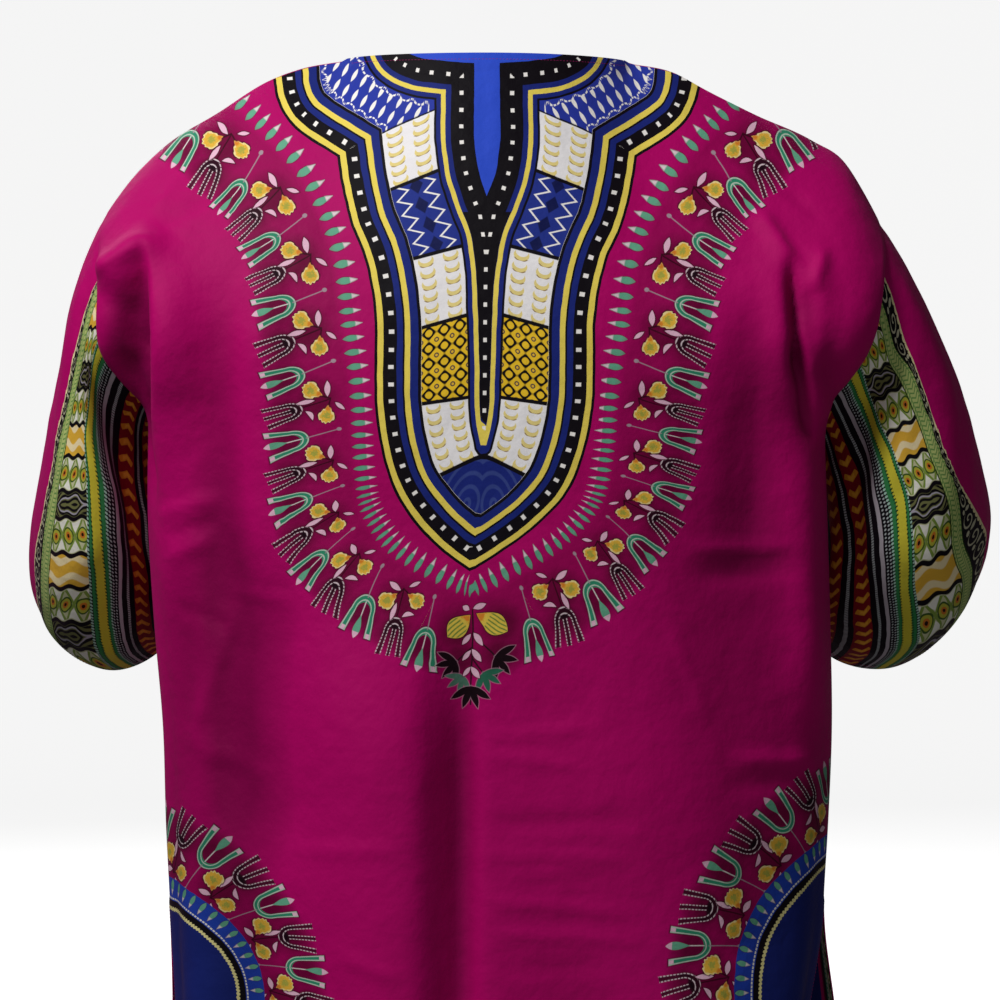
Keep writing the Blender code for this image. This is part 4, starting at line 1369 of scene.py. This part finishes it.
# %% Bands and blocks
OUTER_BANDS = [
    (-4, MAGENTA), (0, BLACK), (2.3, YELLOW), (6.9, BLACK), (17.6, NAVY), (22.6, BLACK),
    (24, YELLOW), (28.6, NAVY), (35, BLACK), (37.4, CREAM),
]
INNER_BANDS = [(-8, BLACK), (-5.4, NAVY), (-1.9, YELLOW), (1.9, NAVY), (6.2, BLACK), (24.5, ROYAL)]
COLUMN_WIDE, ROW_LONG = 34, 50


def paint_blocks(colour, share, row, across):
    """The five blocks between the edges, from the collar's corner down to the tip."""
    cell = row.maths("FLOOR")
    x, y = share.wrapped(0.5, 0.25) * COLUMN_WIDE, row.wrapped(0.1667, 0.0833) * ROW_LONG
    moon = both(disc(x, y * 1.25, 5.4), 4.3 - reach(x, y * 1.25 + 2.8))
    cream = colour.flat("f1eef0")
    cream = cream.over("e9d588", moon)
    cream = cream.over("8a6a3a", both(abs(disc(x, y * 1.25, 5.4)) - 0.4, 2.5 - y), 0.6)
    zig = abs(row.wrapped(0.20)) * ROW_LONG * 1.7 - 4.2
    jag = abs(share.wrapped(0.55, 0.22) * COLUMN_WIDE - zig) - 1.0
    blue = colour.flat("24348c")
    gem = abs(share - 0.52) * COLUMN_WIDE + abs(row.wrapped(0.27)) * ROW_LONG * 0.8 - 4.6
    blue = blue.over("10184c", gem, 0.8)
    blue = blue.over(WHITE, jag, 0.6)
    lattice = (share * 18.85).maths("COSINE") + (row * 31.416).maths("COSINE")
    gold = colour.flat("f0c42c")
    gold = gold.over(BLACK, abs(lattice + 0.55) - 0.55, 0.3)
    gold = gold.over("1a2048", 1.55 - lattice, 0.3)
    gold = gold.over("e8b93a", 1.86 - lattice, 0.1)
    colour = cream.under(blue, (abs(cell - 1.0) - 0.5).inside(0.1))
    colour = colour.under(gold, (abs(cell - 3.0) - 0.5).inside(0.1))
    x, y = abs(across) - 12.0, (row - 5.45) * ROW_LONG
    scroll = (reach(x, y) / 7.0 + y.maths("ARCTAN2", x) / 6.2832).wrapped(1.0)
    tip = colour.flat(NAVY)
    tip = tip.over("3c4c8c", abs(scroll) * 7 - 1.1, 0.6, 0.7)
    colour = colour.under(tip, (5.0 - row).inside(0.01))
    line = both(abs(row.wrapped(1.0)) * ROW_LONG - 1.3, row * ROW_LONG - 252)
    return colour.over(BLACK, line, 0.4)


print("bands outside", len(OUTER_BANDS), "and inside", len(INNER_BANDS))

# %% [markdown]
# ## Over the shoulders
# Where the collar passes over the shoulders its blocks give way to a plain blue, with rows
# of slanted white leaves and a dashed scallop along each edge.

# %% The blue over the shoulders
LEAF_STEP, LEAF_ROW = 14.0, 8.4


def paint_lobe(colour, across, down, share, edges):
    """Blue with white leaves, and scallops at the edges that are given."""
    lobe = colour.flat(BLUE)
    a = abs(across)
    p, q = down * 0.51 - a * 0.86, a * 0.51 + down * 0.86
    strokes = leaf(q.wrapped(LEAF_STEP, 66.0), p.wrapped(LEAF_ROW), 6.0, 1.5)
    strokes = both(strokes, abs(share - 0.5) * 40 - 14.5)
    lobe = lobe.over(WHITE, strokes)
    for place, side, along in edges:
        u = (share - place) * (40.0 * side)
        arch = abs(disc(along.wrapped(10.4, 5.2), u + 0.5, 4.4)) - 0.75
        dash = abs(along.wrapped(2.6)) - 0.85
        lobe = lobe.over(WHITE, both(arch, dash, -1.0 * u))
    return lobe


print("leaves", LEAF_STEP, "by", LEAF_ROW, "mm apart")

# %% [markdown]
# ## The neck's own material
# Bands, dots, blocks and the blue meet in one material. Collar and tongue are two shapes
# with a corner between them, so the outer edge is whichever the point lies deeper inside,
# and the dots are counted along that one.

# %% The collar and the tongue
DOT_PITCH, INNER_DOT_PITCH = 14.1, 13.6
COLLAR_LOW, DOTS_MEET, DOTS_SLANT = 123, 158, 0.17


def paint_neck(start):
    across, down, _ = start.field("drawing")
    collar_out, collar_at, collar_in = start.field("collar_edge")
    tongue_out, tongue_at, tongue_in = start.field("tongue_edge")
    collar_round, tongue_round, _ = start.field("inner_edge")
    share, row, _ = start.field("blocks")
    wobble = start.wobble(75.0, 1.1)
    depth = both(collar_out, tongue_out) + wobble
    inner = both(collar_in, tongue_in) + wobble
    on_collar = (tongue_out - collar_out).inside(0.5)
    along = on_collar.maths("MULTIPLY_ADD", collar_at - tongue_at, tongue_at)
    in_collar = (tongue_in - collar_in).inside(0.5)
    inner_along = in_collar.maths("MULTIPLY_ADD", collar_round - tongue_round, tongue_round)
    colour = bands(depth, -4, 44, OUTER_BANDS)
    lobe_edges = ((0.05, 1.0, collar_at), (0.95, -1.0, collar_round))
    blocks = paint_blocks(colour, share, row, across)
    blocks = blocks.under(paint_lobe(colour, across, down, share, lobe_edges), row.inside(0.02))
    colour = colour.under(blocks, (37.6 - depth).inside(0.3))
    dots = block(along.wrapped(DOT_PITCH), depth - 13.4, 1.6, 2.1)
    colour = colour.over(WHITE, dots)
    centre = bands(inner, -8, 40, INNER_BANDS)
    centre = centre.over(BLACK, both(2.2 - inner, COLLAR_LOW - down))
    dots = block(inner_along.wrapped(INNER_DOT_PITCH), inner - 14.6, 1.6, 1.6)
    centre = centre.over(WHITE, both(dots, down - 120))
    apart = (DOTS_MEET - down).maths("MAXIMUM", 0.0) * DOTS_SLANT
    dots = block(abs(across) - apart, down.wrapped(DOT_PITCH), 1.4, 1.7)
    centre = centre.over(WHITE, both(dots, COLLAR_LOW - down, 1.0 - inner))
    return colour.under(centre, (-7.2 - inner).inside(0.3))


print("dots", DOT_PITCH, "mm apart outside and", INNER_DOT_PITCH, "inside")

# %% [markdown]
# ## Three uses of one border
# The same repeat runs round the neck, closes below the tip, where its two sides move apart
# for the group of flowers, and turns round the blue corners of the hem.

# %% The border's materials
DROPS, DROP_STEP = 5.0, 11.1
DROPS_OUT, STALKS_OUT = 14.6, 38.4
SPRAY_DOWN = 445


def border_start(start):
    """What the border's three materials begin with: its places, two wobbles and magenta."""
    k, out, _ = start.field("border")
    mottle = start.noise(start.place(), 620.0) - 0.5
    return k, out, start.wobble(90.0, 1.4), mottle, start.flat(MAGENTA)


def paint_ring(start):
    k, out, wobble, mottle, colour = border_start(start)
    drops = (k * DROPS).wrapped(1.0) * DROP_STEP
    colour = paint_dashes(colour, drops, out - DROPS_OUT + wobble, 8.8, 2.3)
    return paint_flowers(colour, k, out - STALKS_OUT + wobble, mottle)


def paint_tip(start):
    k, out, wobble, mottle, colour = border_start(start)
    across, down, _ = start.field("drawing")
    drops = (k * DROPS).wrapped(1.0) * DROP_STEP
    colour = paint_dashes(colour, drops, out - DROPS_OUT + wobble, 8.4, 1.8)
    far = (k - 0.5).inside(0.01) * 200.0
    colour = paint_flowers(colour, k, out - STALKS_OUT + wobble, mottle, 1.0, far)
    return paint_spray(colour, across + wobble, down - SPRAY_DOWN + wobble, mottle)


def paint_corner(start):
    k, out, wobble, mottle, colour = border_start(start)
    out = out + wobble
    colour = paint_flowers(colour, k, (out - 5.0) * 0.98, mottle, 1.22)
    colour = colour.over("2142ae", out)
    colour = paint_dashes(colour, (k * 4.0).wrapped(1.0) * 14.0, out + 7.0, 6.4, 2.5)
    dashed = both(abs(out + 16.4) - 0.7, abs((k * 14.0).wrapped(1.0)) * 4 - 1.4)
    colour = colour.over(CREAM, dashed)
    colour = colour.over(BLACK, out + 18.0)
    colour = colour.over("16246e", out + 25.6)
    twist = (k * 12.0).wrapped(1.0)
    beads = reach(out + 25.0 + twist * 1.2, twist * 3.6) - 1.7
    return colour.over("eadf9a", either(beads, abs(out + 25.2) - 0.8))


print("drops", DROPS_OUT, "mm out and stalks", STALKS_OUT, "mm out")

# %% [markdown]
# ## The strip beside the vents
# The front's turned vents show the narrow stripes of the cloth's side, so they get a small
# material of their own, laid by the distance from the side seam.

# %% The vents' strip
VENT_BANDS = [
    (0, BLACK), (5, "8fa060"), (12, BLACK), (15, CREAM), (18, GREEN), (27, BLACK), (33, MAROON),
    (36, MAGENTA),
]


def paint_vent_strip(start):
    """The narrow printed strip beside the front panel's vents."""
    _, down, seam = start.field("drawing")
    s = seam + start.wobble(90.0, 1.4)
    colour = bands(s, 0, 60, VENT_BANDS)
    large = reach(down.wrapped(5.2), s - 8.5) - 1.7
    small = reach(down.wrapped(4.0), s - 22.0) - 1.5
    colour = colour.over("e6e0c0", either(large, small))
    figures = both(abs(down.wrapped(13.0)) + abs(s - 8.5) * 0.6 - 3.0, abs(s - 8.5) - 4)
    return colour.over("3a5a2a", figures)


print("vent bands", len(VENT_BANDS))

# %% [markdown]
# ## The sleeve border
# The sleeves are cut from the side of the cloth, where the print runs in narrow stripes:
# curls, lace, a column of figures, checks and two rows of chevrons.

# %% Curls and lace
SLEEVE_BANDS = [
    (-4, MAGENTA), (0, BLACK), (22, "b5c276"), (38, BLACK), (83.5, "2f7a45"), (87.2, "cabf38"),
    (95.8, "2f7a45"), (99.5, BLACK), (108.8, "aaa3ab"), (112.2, BLACK), (126, "7c0f1c"),
    (141, BLACK), (152, "7c0f1c"), (167, BLACK), (176, MAGENTA),
]


def paint_curls(colour, c, along):
    edge = disc(along.wrapped(6.6), (c + 0.4) * 1.1, 3.5)
    colour = colour.over("e9d9a8", both(edge, -0.8 - c))
    x, y = along.wrapped(21.0), c - 11.0
    winding = reach(x, y) / 6.0 - y.maths("ARCTAN2", x) / 6.2832
    curl = both(abs(winding.wrapped(1.0)) * 6.0 - 0.8, reach(x, y) - 8.0)
    x = along.wrapped(21.0, 10.5)
    buds = either(leaf(c - 8.0, x, 5.0, 1.8), disc(x, c - 16.0, 2.0))
    return colour.over("b9b59a", either(curl, buds))


def paint_lace(colour, c, along):
    zig = abs(c.wrapped(8.0, 30.0)) * 0.8
    net = abs((along + zig).wrapped(4.3)) - 0.75
    net = either(net, abs(abs(c - 30.0) - 5.2) - 0.5)
    colour = colour.over("5d8a48", both(net, abs(c - 30.0) - 7.6), 0.6, 0.9)
    return colour.over("24400f", abs(abs(c - 30.0) - 8.0) - 0.5, 0.4)


print("bands of the sleeve", len(SLEEVE_BANDS))

# %% [markdown]
# ## The column of figures
# The widest stripe repeats a streaked yellow field, a row of circles between teeth, and a
# nest of hexagons. It mirrors about the field's middle, so only half of it is drawn.

# %% The column of figures
FIGURE_UNIT, FIGURES_MIDDLE = 102.4, 60


def paint_figures(colour, c, row):
    """A column of figures: a streaked yellow field, circles, a nest of hexagons, circles."""
    x = c - FIGURES_MIDDLE
    wave = (x * 0.33).maths("SINE") * 1.3
    far = abs(row.wrapped(FIGURE_UNIT)) + wave
    figures = bands(far, 0, 56, [(0, "ddac3a"), (13, "c3c49c"), (41, "6d6e44")])
    streak = (row * 0.42 + (x * 0.22).maths("SINE") * 1.1).maths("SINE")
    figures = figures.over("eedcae", both(0.35 - streak, far - 12.0), 0.4)
    disc_x, up = x.wrapped(16.0), far - 27.0
    teeth = both(abs(x.wrapped(16.0, 8.0)) + (11.5 - abs(up)) * 0.8 - 6.5, abs(up) - 11.5)
    figures = figures.over("e9e7dc", teeth, 0.4)
    crossed = both(abs(abs(up) - abs(x.wrapped(16.0, 8.0)) * 1.7) - 2.2, abs(up) - 11.5)
    figures = figures.over("7d9440", crossed, 0.6)
    coin = disc(disc_x, up, 6.3)
    figures = figures.over("3d5a22", coin)
    figures = figures.over("b3ae3a", coin + 1.3)
    figures = figures.over("c87428", coin + 3.4)
    figures = figures.over("2c1208", coin + 4.9)
    nest = both(abs(x) * 0.50 + abs(far - 52.5) - 13.0, abs(far - 52.5) - 9.0)
    lines = abs(nest.wrapped(4.4)) - 1.1
    figures = figures.over(BLACK, both(lines, 43.0 - far), 0.5)
    figures = figures.over("a59fae", both(abs(nest + 1.8) - 0.6, 43.0 - far), 0.4)
    breaks = either(abs(far - 13.0) - 1.8, abs(far - 41.0) - 1.7)
    figures = figures.over(BLACK, breaks, 0.5)
    return colour.under(figures, (abs(x) - 21.2).inside())


print("a figure every", FIGURE_UNIT, "mm")

# %% [markdown]
# ## Chevrons, dots and the whole sleeve
# Two rows of fat chevrons point along the arm, towards the cuff on one sleeve and away from
# it on the other, because both are cut from the same run of cloth. Rows of small dots and
# beads stand between the stripes.

# %% Chevrons and the sleeve's material
CHEVRON_STEP = 15.2


def paint_chevrons(colour, x, along, half, point):
    """A row of fat chevrons; point is 1 for tips towards the cuff, else -1."""
    y = along.wrapped(CHEVRON_STEP) * -point
    shape = both(disc(x, y, half), y - abs(x) * 0.9 - 0.6)
    shape = both(shape, abs(x) * 0.9 - y - 5.8)
    colour = colour.over("c98424", shape)
    return colour.over("dd9f34", both(shape + 1.3, abs(x) - 3), 1.0)


def sleeve_painter(point):
    def paint(start):
        c, along, row = start.field("border")
        wobble = start.wobble(80.0, 1.6)
        c, along = c + wobble, along + wobble
        colour = bands(c, -4, 186, SLEEVE_BANDS)
        colour = paint_curls(colour, c, along)
        colour = paint_lace(colour, c, along)
        colour = paint_figures(colour, c, row + wobble)
        notch = both(abs(along.wrapped(3.4)) - 0.7, abs(abs(c - 91.5) - 4.6) - 1.0)
        colour = colour.over("1c3a18", notch, 0.4)
        bead_y = abs(c - 91.5) - 9.4
        colour = colour.over("9fc4b4", reach(along.wrapped(3.4), bead_y) - 1.15)
        dots = either(
            disc(along.wrapped(3.4), c - 103.4, 0.9),
            disc(along.wrapped(3.4, 1.7), c - 106.4, 0.9),
            block(along.wrapped(2.4), c - 119.4, 0.8, 1.3),
            block(along.wrapped(2.4), c - 146.5, 0.8, 1.3),
        )
        colour = colour.over("a7aeb0", dots)
        colour = paint_chevrons(colour, c - 133.5, along, 6.6, point)
        return paint_chevrons(colour, c - 159.5, along + 6.0, 6.0, point)

    return paint


print("a chevron every", CHEVRON_STEP, "mm")

# %% [markdown]
# ## The cloth under the print
# Printed cotton poplin has a fine plain weave, a low sheen, and slow differences of tone
# where it has been washed and worn. Its small creases are too fine for the mesh, so they
# are bumps, and the turned edges carry a slight pucker. The colour is also darkened in the
# deep folds, which is a painted shade.

# %% Weave and finish
THREAD = 0.00052
# HOLLOW_SHADE sets how far the painted shade in deep folds darkens the colour
TONE_LOW, TONE_SPAN, SLUB_SPAN, HOLLOW_SHADE = 0.92, 0.16, 0.14, 0.46
PUCKER_PITCH, PUCKER_WIDE = 900.0, 14
SHEEN = {
    "Sheen Weight": 0.03,
    "Sheen Roughness": 0.5,
    "Sheen Tint": (1.0, 0.35, 0.75, 1.0),
    "Specular IOR Level": 0.08,
}


def new_shader(name, settings):
    """A new material, and its shader with some inputs set."""
    material = bpy.data.materials.new(name)
    material.use_nodes = True
    shader = material.node_tree.nodes["Principled BSDF"]
    for key, value in settings.items():
        shader.inputs[key].default_value = value
    return material, shader


def cloth_material(name, paint):
    material, shader = new_shader(name, SHEEN)
    tree = material.node_tree
    start = Flow(tree, shader.outputs[0])
    place = start.place()
    across, along, from_edge = start.field("cloth")
    tone = start.noise(place, 9.0, 3.0)
    weave = (across * (6.2832 / THREAD)).maths("SINE") * (along * (6.2832 / THREAD)).maths("SINE")
    deep, _, _ = start.field("hollow")
    slub = (start.noise(place, 1400.0) - 0.5) * SLUB_SPAN
    # painted shade: the colour is darkened by how deep the point lies in a fold
    value = tone * TONE_SPAN + TONE_LOW + slub - deep * HOLLOW_SHADE
    inputs = {"Color": paint(start), "Value": value}
    colour = start.node("ShaderNodeHueSaturation", {}, inputs)
    crease = start.noise(place, 42.0, 4.0)
    near_edge = (from_edge * 1000 - PUCKER_WIDE).inside(6.0)
    pucker = (along * PUCKER_PITCH).maths("SINE") * near_edge
    inputs = {"Strength": 0.55, "Distance": 0.0035, "Height": crease}
    inputs["Normal"] = start.node("ShaderNodeBump", {}, inputs)
    inputs |= {"Strength": 0.30, "Distance": 0.00012, "Height": weave * 0.5 + pucker * 0.2}
    fine = start.node("ShaderNodeBump", {}, inputs)
    rough = tone * 0.12 + 0.54
    for key, made in (("Base Color", colour), ("Normal", fine), ("Roughness", rough)):
        tree.links.new(made.socket, shader.inputs[key])
    print(name, "nodes", len(tree.nodes))
    return material


BODY_PAINTERS = {
    "plain": lambda start: start.flat(MAGENTA),
    "neck": paint_neck,
    "ring": paint_ring,
    "corner": paint_corner,
    "tip": paint_tip,
    "vent_strip": paint_vent_strip,
}
BODY_INKS = [cloth_material("poplin_" + name, paint) for name, paint in BODY_PAINTERS.items()]
for name in ("back_cloth", "front_cloth"):
    for material in BODY_INKS:
        PIECES[name].data.materials.append(material)
for name, point in (("left_sleeve_cloth", -1.0), ("right_sleeve_cloth", 1.0)):
    PIECES[name].data.materials.append(BODY_INKS[PLAIN_INK])
    PIECES[name].data.materials.append(cloth_material("poplin_" + name, sleeve_painter(point)))

# %% [markdown]
# ## The stitching
# The hem, the vents, the cuffs and the neck are turned under and held by one row of machine
# stitches. A stitch is a small rounded bar of thread, and there are hundreds in a row, so a
# Geometry Nodes tree lays one bar at each step of a line that follows the edge. The line is
# found in the finished cloth, a set distance in from the turned edge.

# %% Lines that the stitches follow
STITCH_STEP, STITCH_LONG, STITCH_ROUND = 0.0027, 0.0020, 0.00022
HEM_STITCH, VENT_STITCH, NECK_STITCH, CUFF_STITCH = 0.0105, 0.0095, 0.0060, 0.0110


def point_in(line, inset, from_end):
    """The point of a line of points that lies a distance in from one of its ends."""
    ordered = line[::-1] if from_end else line
    length = lengths_of(ordered)
    return np.array([np.interp(inset, length, ordered[:, i]) for i in range(3)])


def panel_lines(rest, hung):
    """The hem, the two vents and the neck of a panel, as lines of points."""
    hem, side = arc_lengths(hung, 1)[-1], arc_lengths(hung, 0)[:, 0]
    columns = np.nonzero(np.minimum(hem, hem[-1] - hem) > VENT_STITCH)[0]
    in_vent = (-rest[:, 0, 2] > VENT_DOWN + 0.004) & (side[-1] - side > HEM_STITCH)
    rows = np.nonzero(in_vent)[0]
    neck = np.nonzero(np.abs(rest[0, :, 0]) < NECK_HALF - 0.001)[0]
    return [
        np.array([point_in(hung[:, c], HEM_STITCH, True) for c in columns]),
        np.array([point_in(hung[r], VENT_STITCH, False) for r in rows]),
        np.array([point_in(hung[r], VENT_STITCH, True) for r in rows]),
        np.array([point_in(hung[:, c], NECK_STITCH, False) for c in neck]),
    ]


def cuff_line(hung):
    return [np.array([point_in(hung[:, c], CUFF_STITCH, True) for c in range(hung.shape[1])])]


print("stitches", STITCH_STEP * 1000, "mm apart")

# %% [markdown]
# ## Thread
# The thread is dyed to the ground's magenta, and it is twisted, so it is a little lighter
# and darker along its length.

# %% Thread
THREAD_FINISH = {"Roughness": 0.62, "Specular IOR Level": 0.20}
THREAD_INK, thread_shader = new_shader("sewing_thread", THREAD_FINISH)
thread_start = Flow(THREAD_INK.node_tree, thread_shader.outputs[0])
twist = thread_start.noise(thread_start.place(), 900.0, 2.0)
thread_colour = thread_start.flat("c0157a").under(ink("7c0046"), twist)
THREAD_INK.node_tree.links.new(thread_colour.socket, thread_shader.inputs["Base Color"])
print("thread", STITCH_ROUND * 2000, "mm thick")

# %% [markdown]
# ## Stitches by Geometry Nodes
# The tree takes a line, sets even points along it, stands a small stretched sphere on each
# and turns it along the line. Every size is an input with a name, and a fixed seed varies
# the stitches' length a little.

# %% Geometry Nodes that lay the thread
SHORT_STITCH, LONG_STITCH = 0.43, 0.52


def stitch_tree():
    """A tree that lays one bar of thread at each step along the lines it is given."""
    tree = bpy.data.node_groups.new("stitches_along_a_line", "GeometryNodeTree")
    face = tree.interface
    face.new_socket("Geometry", in_out="INPUT", socket_type="NodeSocketGeometry")
    sizes = [
        face.new_socket(name, in_out="INPUT", socket_type="NodeSocketFloat").identifier
        for name in ("Step", "Stitch length", "Thread radius")
    ]
    seed = face.new_socket("Seed", in_out="INPUT", socket_type="NodeSocketInt").identifier
    face.new_socket("Geometry", in_out="OUTPUT", socket_type="NodeSocketGeometry")
    given = tree.nodes.new("NodeGroupInput")
    line, step, long, thick, number = [Flow(tree, socket) for socket in given.outputs[:5]]
    line = line.node("GeometryNodeMeshToCurve", {}, {"Mesh": line}, "Curve")
    even = {"Curve": line, "Length": step}
    line = line.node("GeometryNodeResampleCurve", {"mode": "LENGTH"}, even, "Curve")
    ball = {"Segments": 6, "Rings": 5, "Radius": 1.0}
    bead = line.node("GeometryNodeMeshUVSphere", {}, ball, "Mesh")
    ahead = line.node("GeometryNodeInputTangent", {}, {}, "Tangent")
    aim = "FunctionNodeAlignRotationToVector"
    aim = line.node(aim, {"axis": "Z"}, {"Vector": ahead}, "Rotation")
    lengths = {"Min_001": SHORT_STITCH, "Max_001": LONG_STITCH, "Seed": number}
    vary = line.node("FunctionNodeRandomValue", {"data_type": "FLOAT"}, lengths, "Value_001")
    size = {"X": thick, "Y": thick, "Z": vary * long}
    size = line.node("ShaderNodeCombineXYZ", {}, size, "Vector")
    laid = {"Points": line, "Instance": bead, "Rotation": aim, "Scale": size}
    laid = line.node("GeometryNodeInstanceOnPoints", {}, laid, "Instances")
    laid = line.node("GeometryNodeRealizeInstances", {}, {"Geometry": laid}, "Geometry")
    paint = {"Geometry": laid, "Material": THREAD_INK}
    laid = line.node("GeometryNodeSetMaterial", {}, paint, "Geometry")
    tree.links.new(laid.socket, tree.nodes.new("NodeGroupOutput").inputs[0])
    return tree, (*sizes, seed)


STITCHES, STITCH_SOCKETS = stitch_tree()


def sew(name, lines, seed):
    """A plain mesh of stitches along the lines."""
    points, edges = [], []
    for line in lines:
        start = len(points)
        points += line.tolist()
        edges += [(start + i, start + i + 1) for i in range(len(line) - 1)]
    guide_mesh = bpy.data.meshes.new(name + "_guide")
    guide_mesh.from_pydata(points, edges, [])
    guide = add_object(name + "_guide", guide_mesh)
    sewn = guide.modifiers.new("stitches", "NODES")
    sewn.node_group = STITCHES
    for socket, value in zip(STITCH_SOCKETS, (STITCH_STEP, STITCH_LONG, STITCH_ROUND, seed)):
        sewn[socket] = value
    graph = bpy.context.evaluated_depsgraph_get()
    mesh = bpy.data.meshes.new_from_object(guide.evaluated_get(graph))
    bpy.data.objects.remove(guide)
    mesh.shade_smooth()
    PIECES[name] = add_object(name, mesh)
    print(name, "faces", len(mesh.polygons), "materials", len(mesh.materials))


sew("back_stitches", panel_lines(*PANEL_LINES["back"]), 1)
sew("front_stitches", panel_lines(*PANEL_LINES["front"]), 2)
sew("left_sleeve_stitches", cuff_line(left_hung), 3)
sew("right_sleeve_stitches", cuff_line(right_hung), 4)

# %% [markdown]
# ## Putting it in the frame
# Each piece stands for its solid of the measured frame and rides with it. The shirt is worn,
# so its cloth hangs from the shoulders, and the flat size of each of the four cuts is looked up.

Cut = namedtuple("Cut", "piece node slot with_pieces")
CUTS = [
    Cut("back_cloth", "back_panel", "body_cloth", ["back_stitches"]),
    Cut("front_cloth", "front_panel", "body_cloth", ["front_stitches"]),
    Cut("left_sleeve_cloth", "sleeve_left", "sleeve_cloth", ["left_sleeve_stitches"]),
    Cut("right_sleeve_cloth", "sleeve_right", "sleeve_cloth", ["right_sleeve_stitches"]),
]
for cut in CUTS:
    piece = PIECES[cut.piece]
    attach(piece, "root")
    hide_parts(cut.node)
    wide, long, area = map(float, FLAT_SIZES[cut.piece])
    on_it = [PIECES[name] for name in cut.with_pieces]
    for stitches in on_it:
        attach(stitches, "root")
    area = min(area, wide * long)
    print(cut.piece, "stands for", cut.node)

# %% [markdown]
# ## The room
# Clothes are best shown in an even white room that gives off a little light of its own. The
# floor curves up into the wall all round, which leaves no line behind the shirt.

# %% The room
ROOM_FLOOR, ROOM_FLAT, ROOM_CURVE = -1.02, 5.0, 2.4
PAINT = {
    "Base Color": (0.93, 0.93, 0.93, 1),
    "Roughness": 0.9,
    "Emission Color": (1, 1, 1, 1),
    "Emission Strength": 0.80,
}


def add_room(turns=96, rings=14):
    profile = [(0.0, ROOM_FLOOR), (ROOM_FLAT * 0.5, ROOM_FLOOR)]
    for step in range(rings + 1):
        angle = math.pi / 2 * step / rings
        out = ROOM_FLAT + ROOM_CURVE * math.sin(angle)
        profile.append((out, ROOM_FLOOR + ROOM_CURVE * (1 - math.cos(angle))))
    profile.append((ROOM_FLAT + ROOM_CURVE, ROOM_FLOOR + 2 * ROOM_CURVE))
    points, faces = [(0, 0, ROOM_FLOOR)], []
    for radius, height in profile[1:]:
        for turn in range(turns):
            angle = 2 * math.pi * turn / turns
            points.append((radius * math.cos(angle), radius * math.sin(angle), height))
    for turn in range(turns):
        after = (turn + 1) % turns
        faces.append((0, 1 + turn, 1 + after))
        for ring in range(len(profile) - 2):
            low, high = 1 + ring * turns, 1 + (ring + 1) * turns
            faces.append((low + turn, high + turn, high + after, low + after))
    mesh = bpy.data.meshes.new("room")
    mesh.from_pydata(points, [], faces)
    mesh.shade_smooth()
    room = add_object("room", mesh)
    paint, _ = new_shader("room_paint", PAINT)
    paint.cycles.emission_sampling = "NONE"
    room.data.materials.append(paint)
    room.visible_diffuse = room.visible_glossy = room.visible_shadow = False


add_room()
print("room", 2 * (ROOM_FLAT + ROOM_CURVE), "m across")

# %% [markdown]
# ## Lights and camera
# One soft light from the upper left shows the folds by their shade, and no hard shadow
# crosses the print. A weak fill opens the other side, a low light lifts the hem, and a rim
# light shows the front when the shirt is turned round. The camera faces the back, at the
# point from which the flat drawing of the print is carried to the cloth.

# %% Lights and camera
Light = namedtuple("Light", "name place target size watts colour")
LIGHTS = table(Light, [
    ("key", (1.15, 1.30, 1.50), (0.12, 0, -0.36), 0.7, 54, (1, 0.99, 0.975)),
    ("fill", (-1.4, 2.6, 0.4), (0, 0, -0.45), 2.2, 0.8, (0.97, 0.98, 1)),
    ("low", (-0.2, 2.0, -1.5), (0, 0, -0.40), 1.6, 5, (1, 1, 1)),
    ("rim", (0.6, -2.6, 1.6), (0, 0, -0.3), 2.0, 40, (1, 1, 1)),
])
AIR_STRENGTH, CAMERA_HALF_WIDTH = 0.075, 0.4


def add_light(row):
    data = bpy.data.lights.new(row.name, "AREA")
    data.shape, data.size, data.energy, data.color = "SQUARE", row.size, row.watts, row.colour
    light = add_object(row.name, data)
    light.location = row.place
    aim = Vector(row.target) - Vector(row.place)
    light.rotation_euler = aim.to_track_quat("-Z", "Y").to_euler()


def set_world(strength):
    world = bpy.data.worlds.new("room_air")
    world.use_nodes = True
    background = world.node_tree.nodes["Background"]
    background.inputs["Color"].default_value = (1, 1, 1, 1)
    background.inputs["Strength"].default_value = strength
    bpy.context.scene.world = world


def add_camera(place, half_width):
    data = bpy.data.cameras.new("camera")
    data.angle = 2 * math.atan(half_width / DRAWING_DISTANCE)
    camera = add_object("camera", data)
    camera.location = place
    camera.rotation_euler = (math.pi / 2, 0, math.pi)
    bpy.context.scene.camera = camera


set_world(AIR_STRENGTH)
for light in LIGHTS:
    add_light(light)
add_camera((DRAWING_MIDDLE[0], DRAWING_DISTANCE, DRAWING_MIDDLE[1]), CAMERA_HALF_WIDTH)
bpy.context.scene.view_settings.view_transform = "Standard"
print("lights", [light.name for light in LIGHTS])

# %% [markdown]
# ## The finished size
# The dressed shirt should stand as large as its measured frame, give or take its folds.
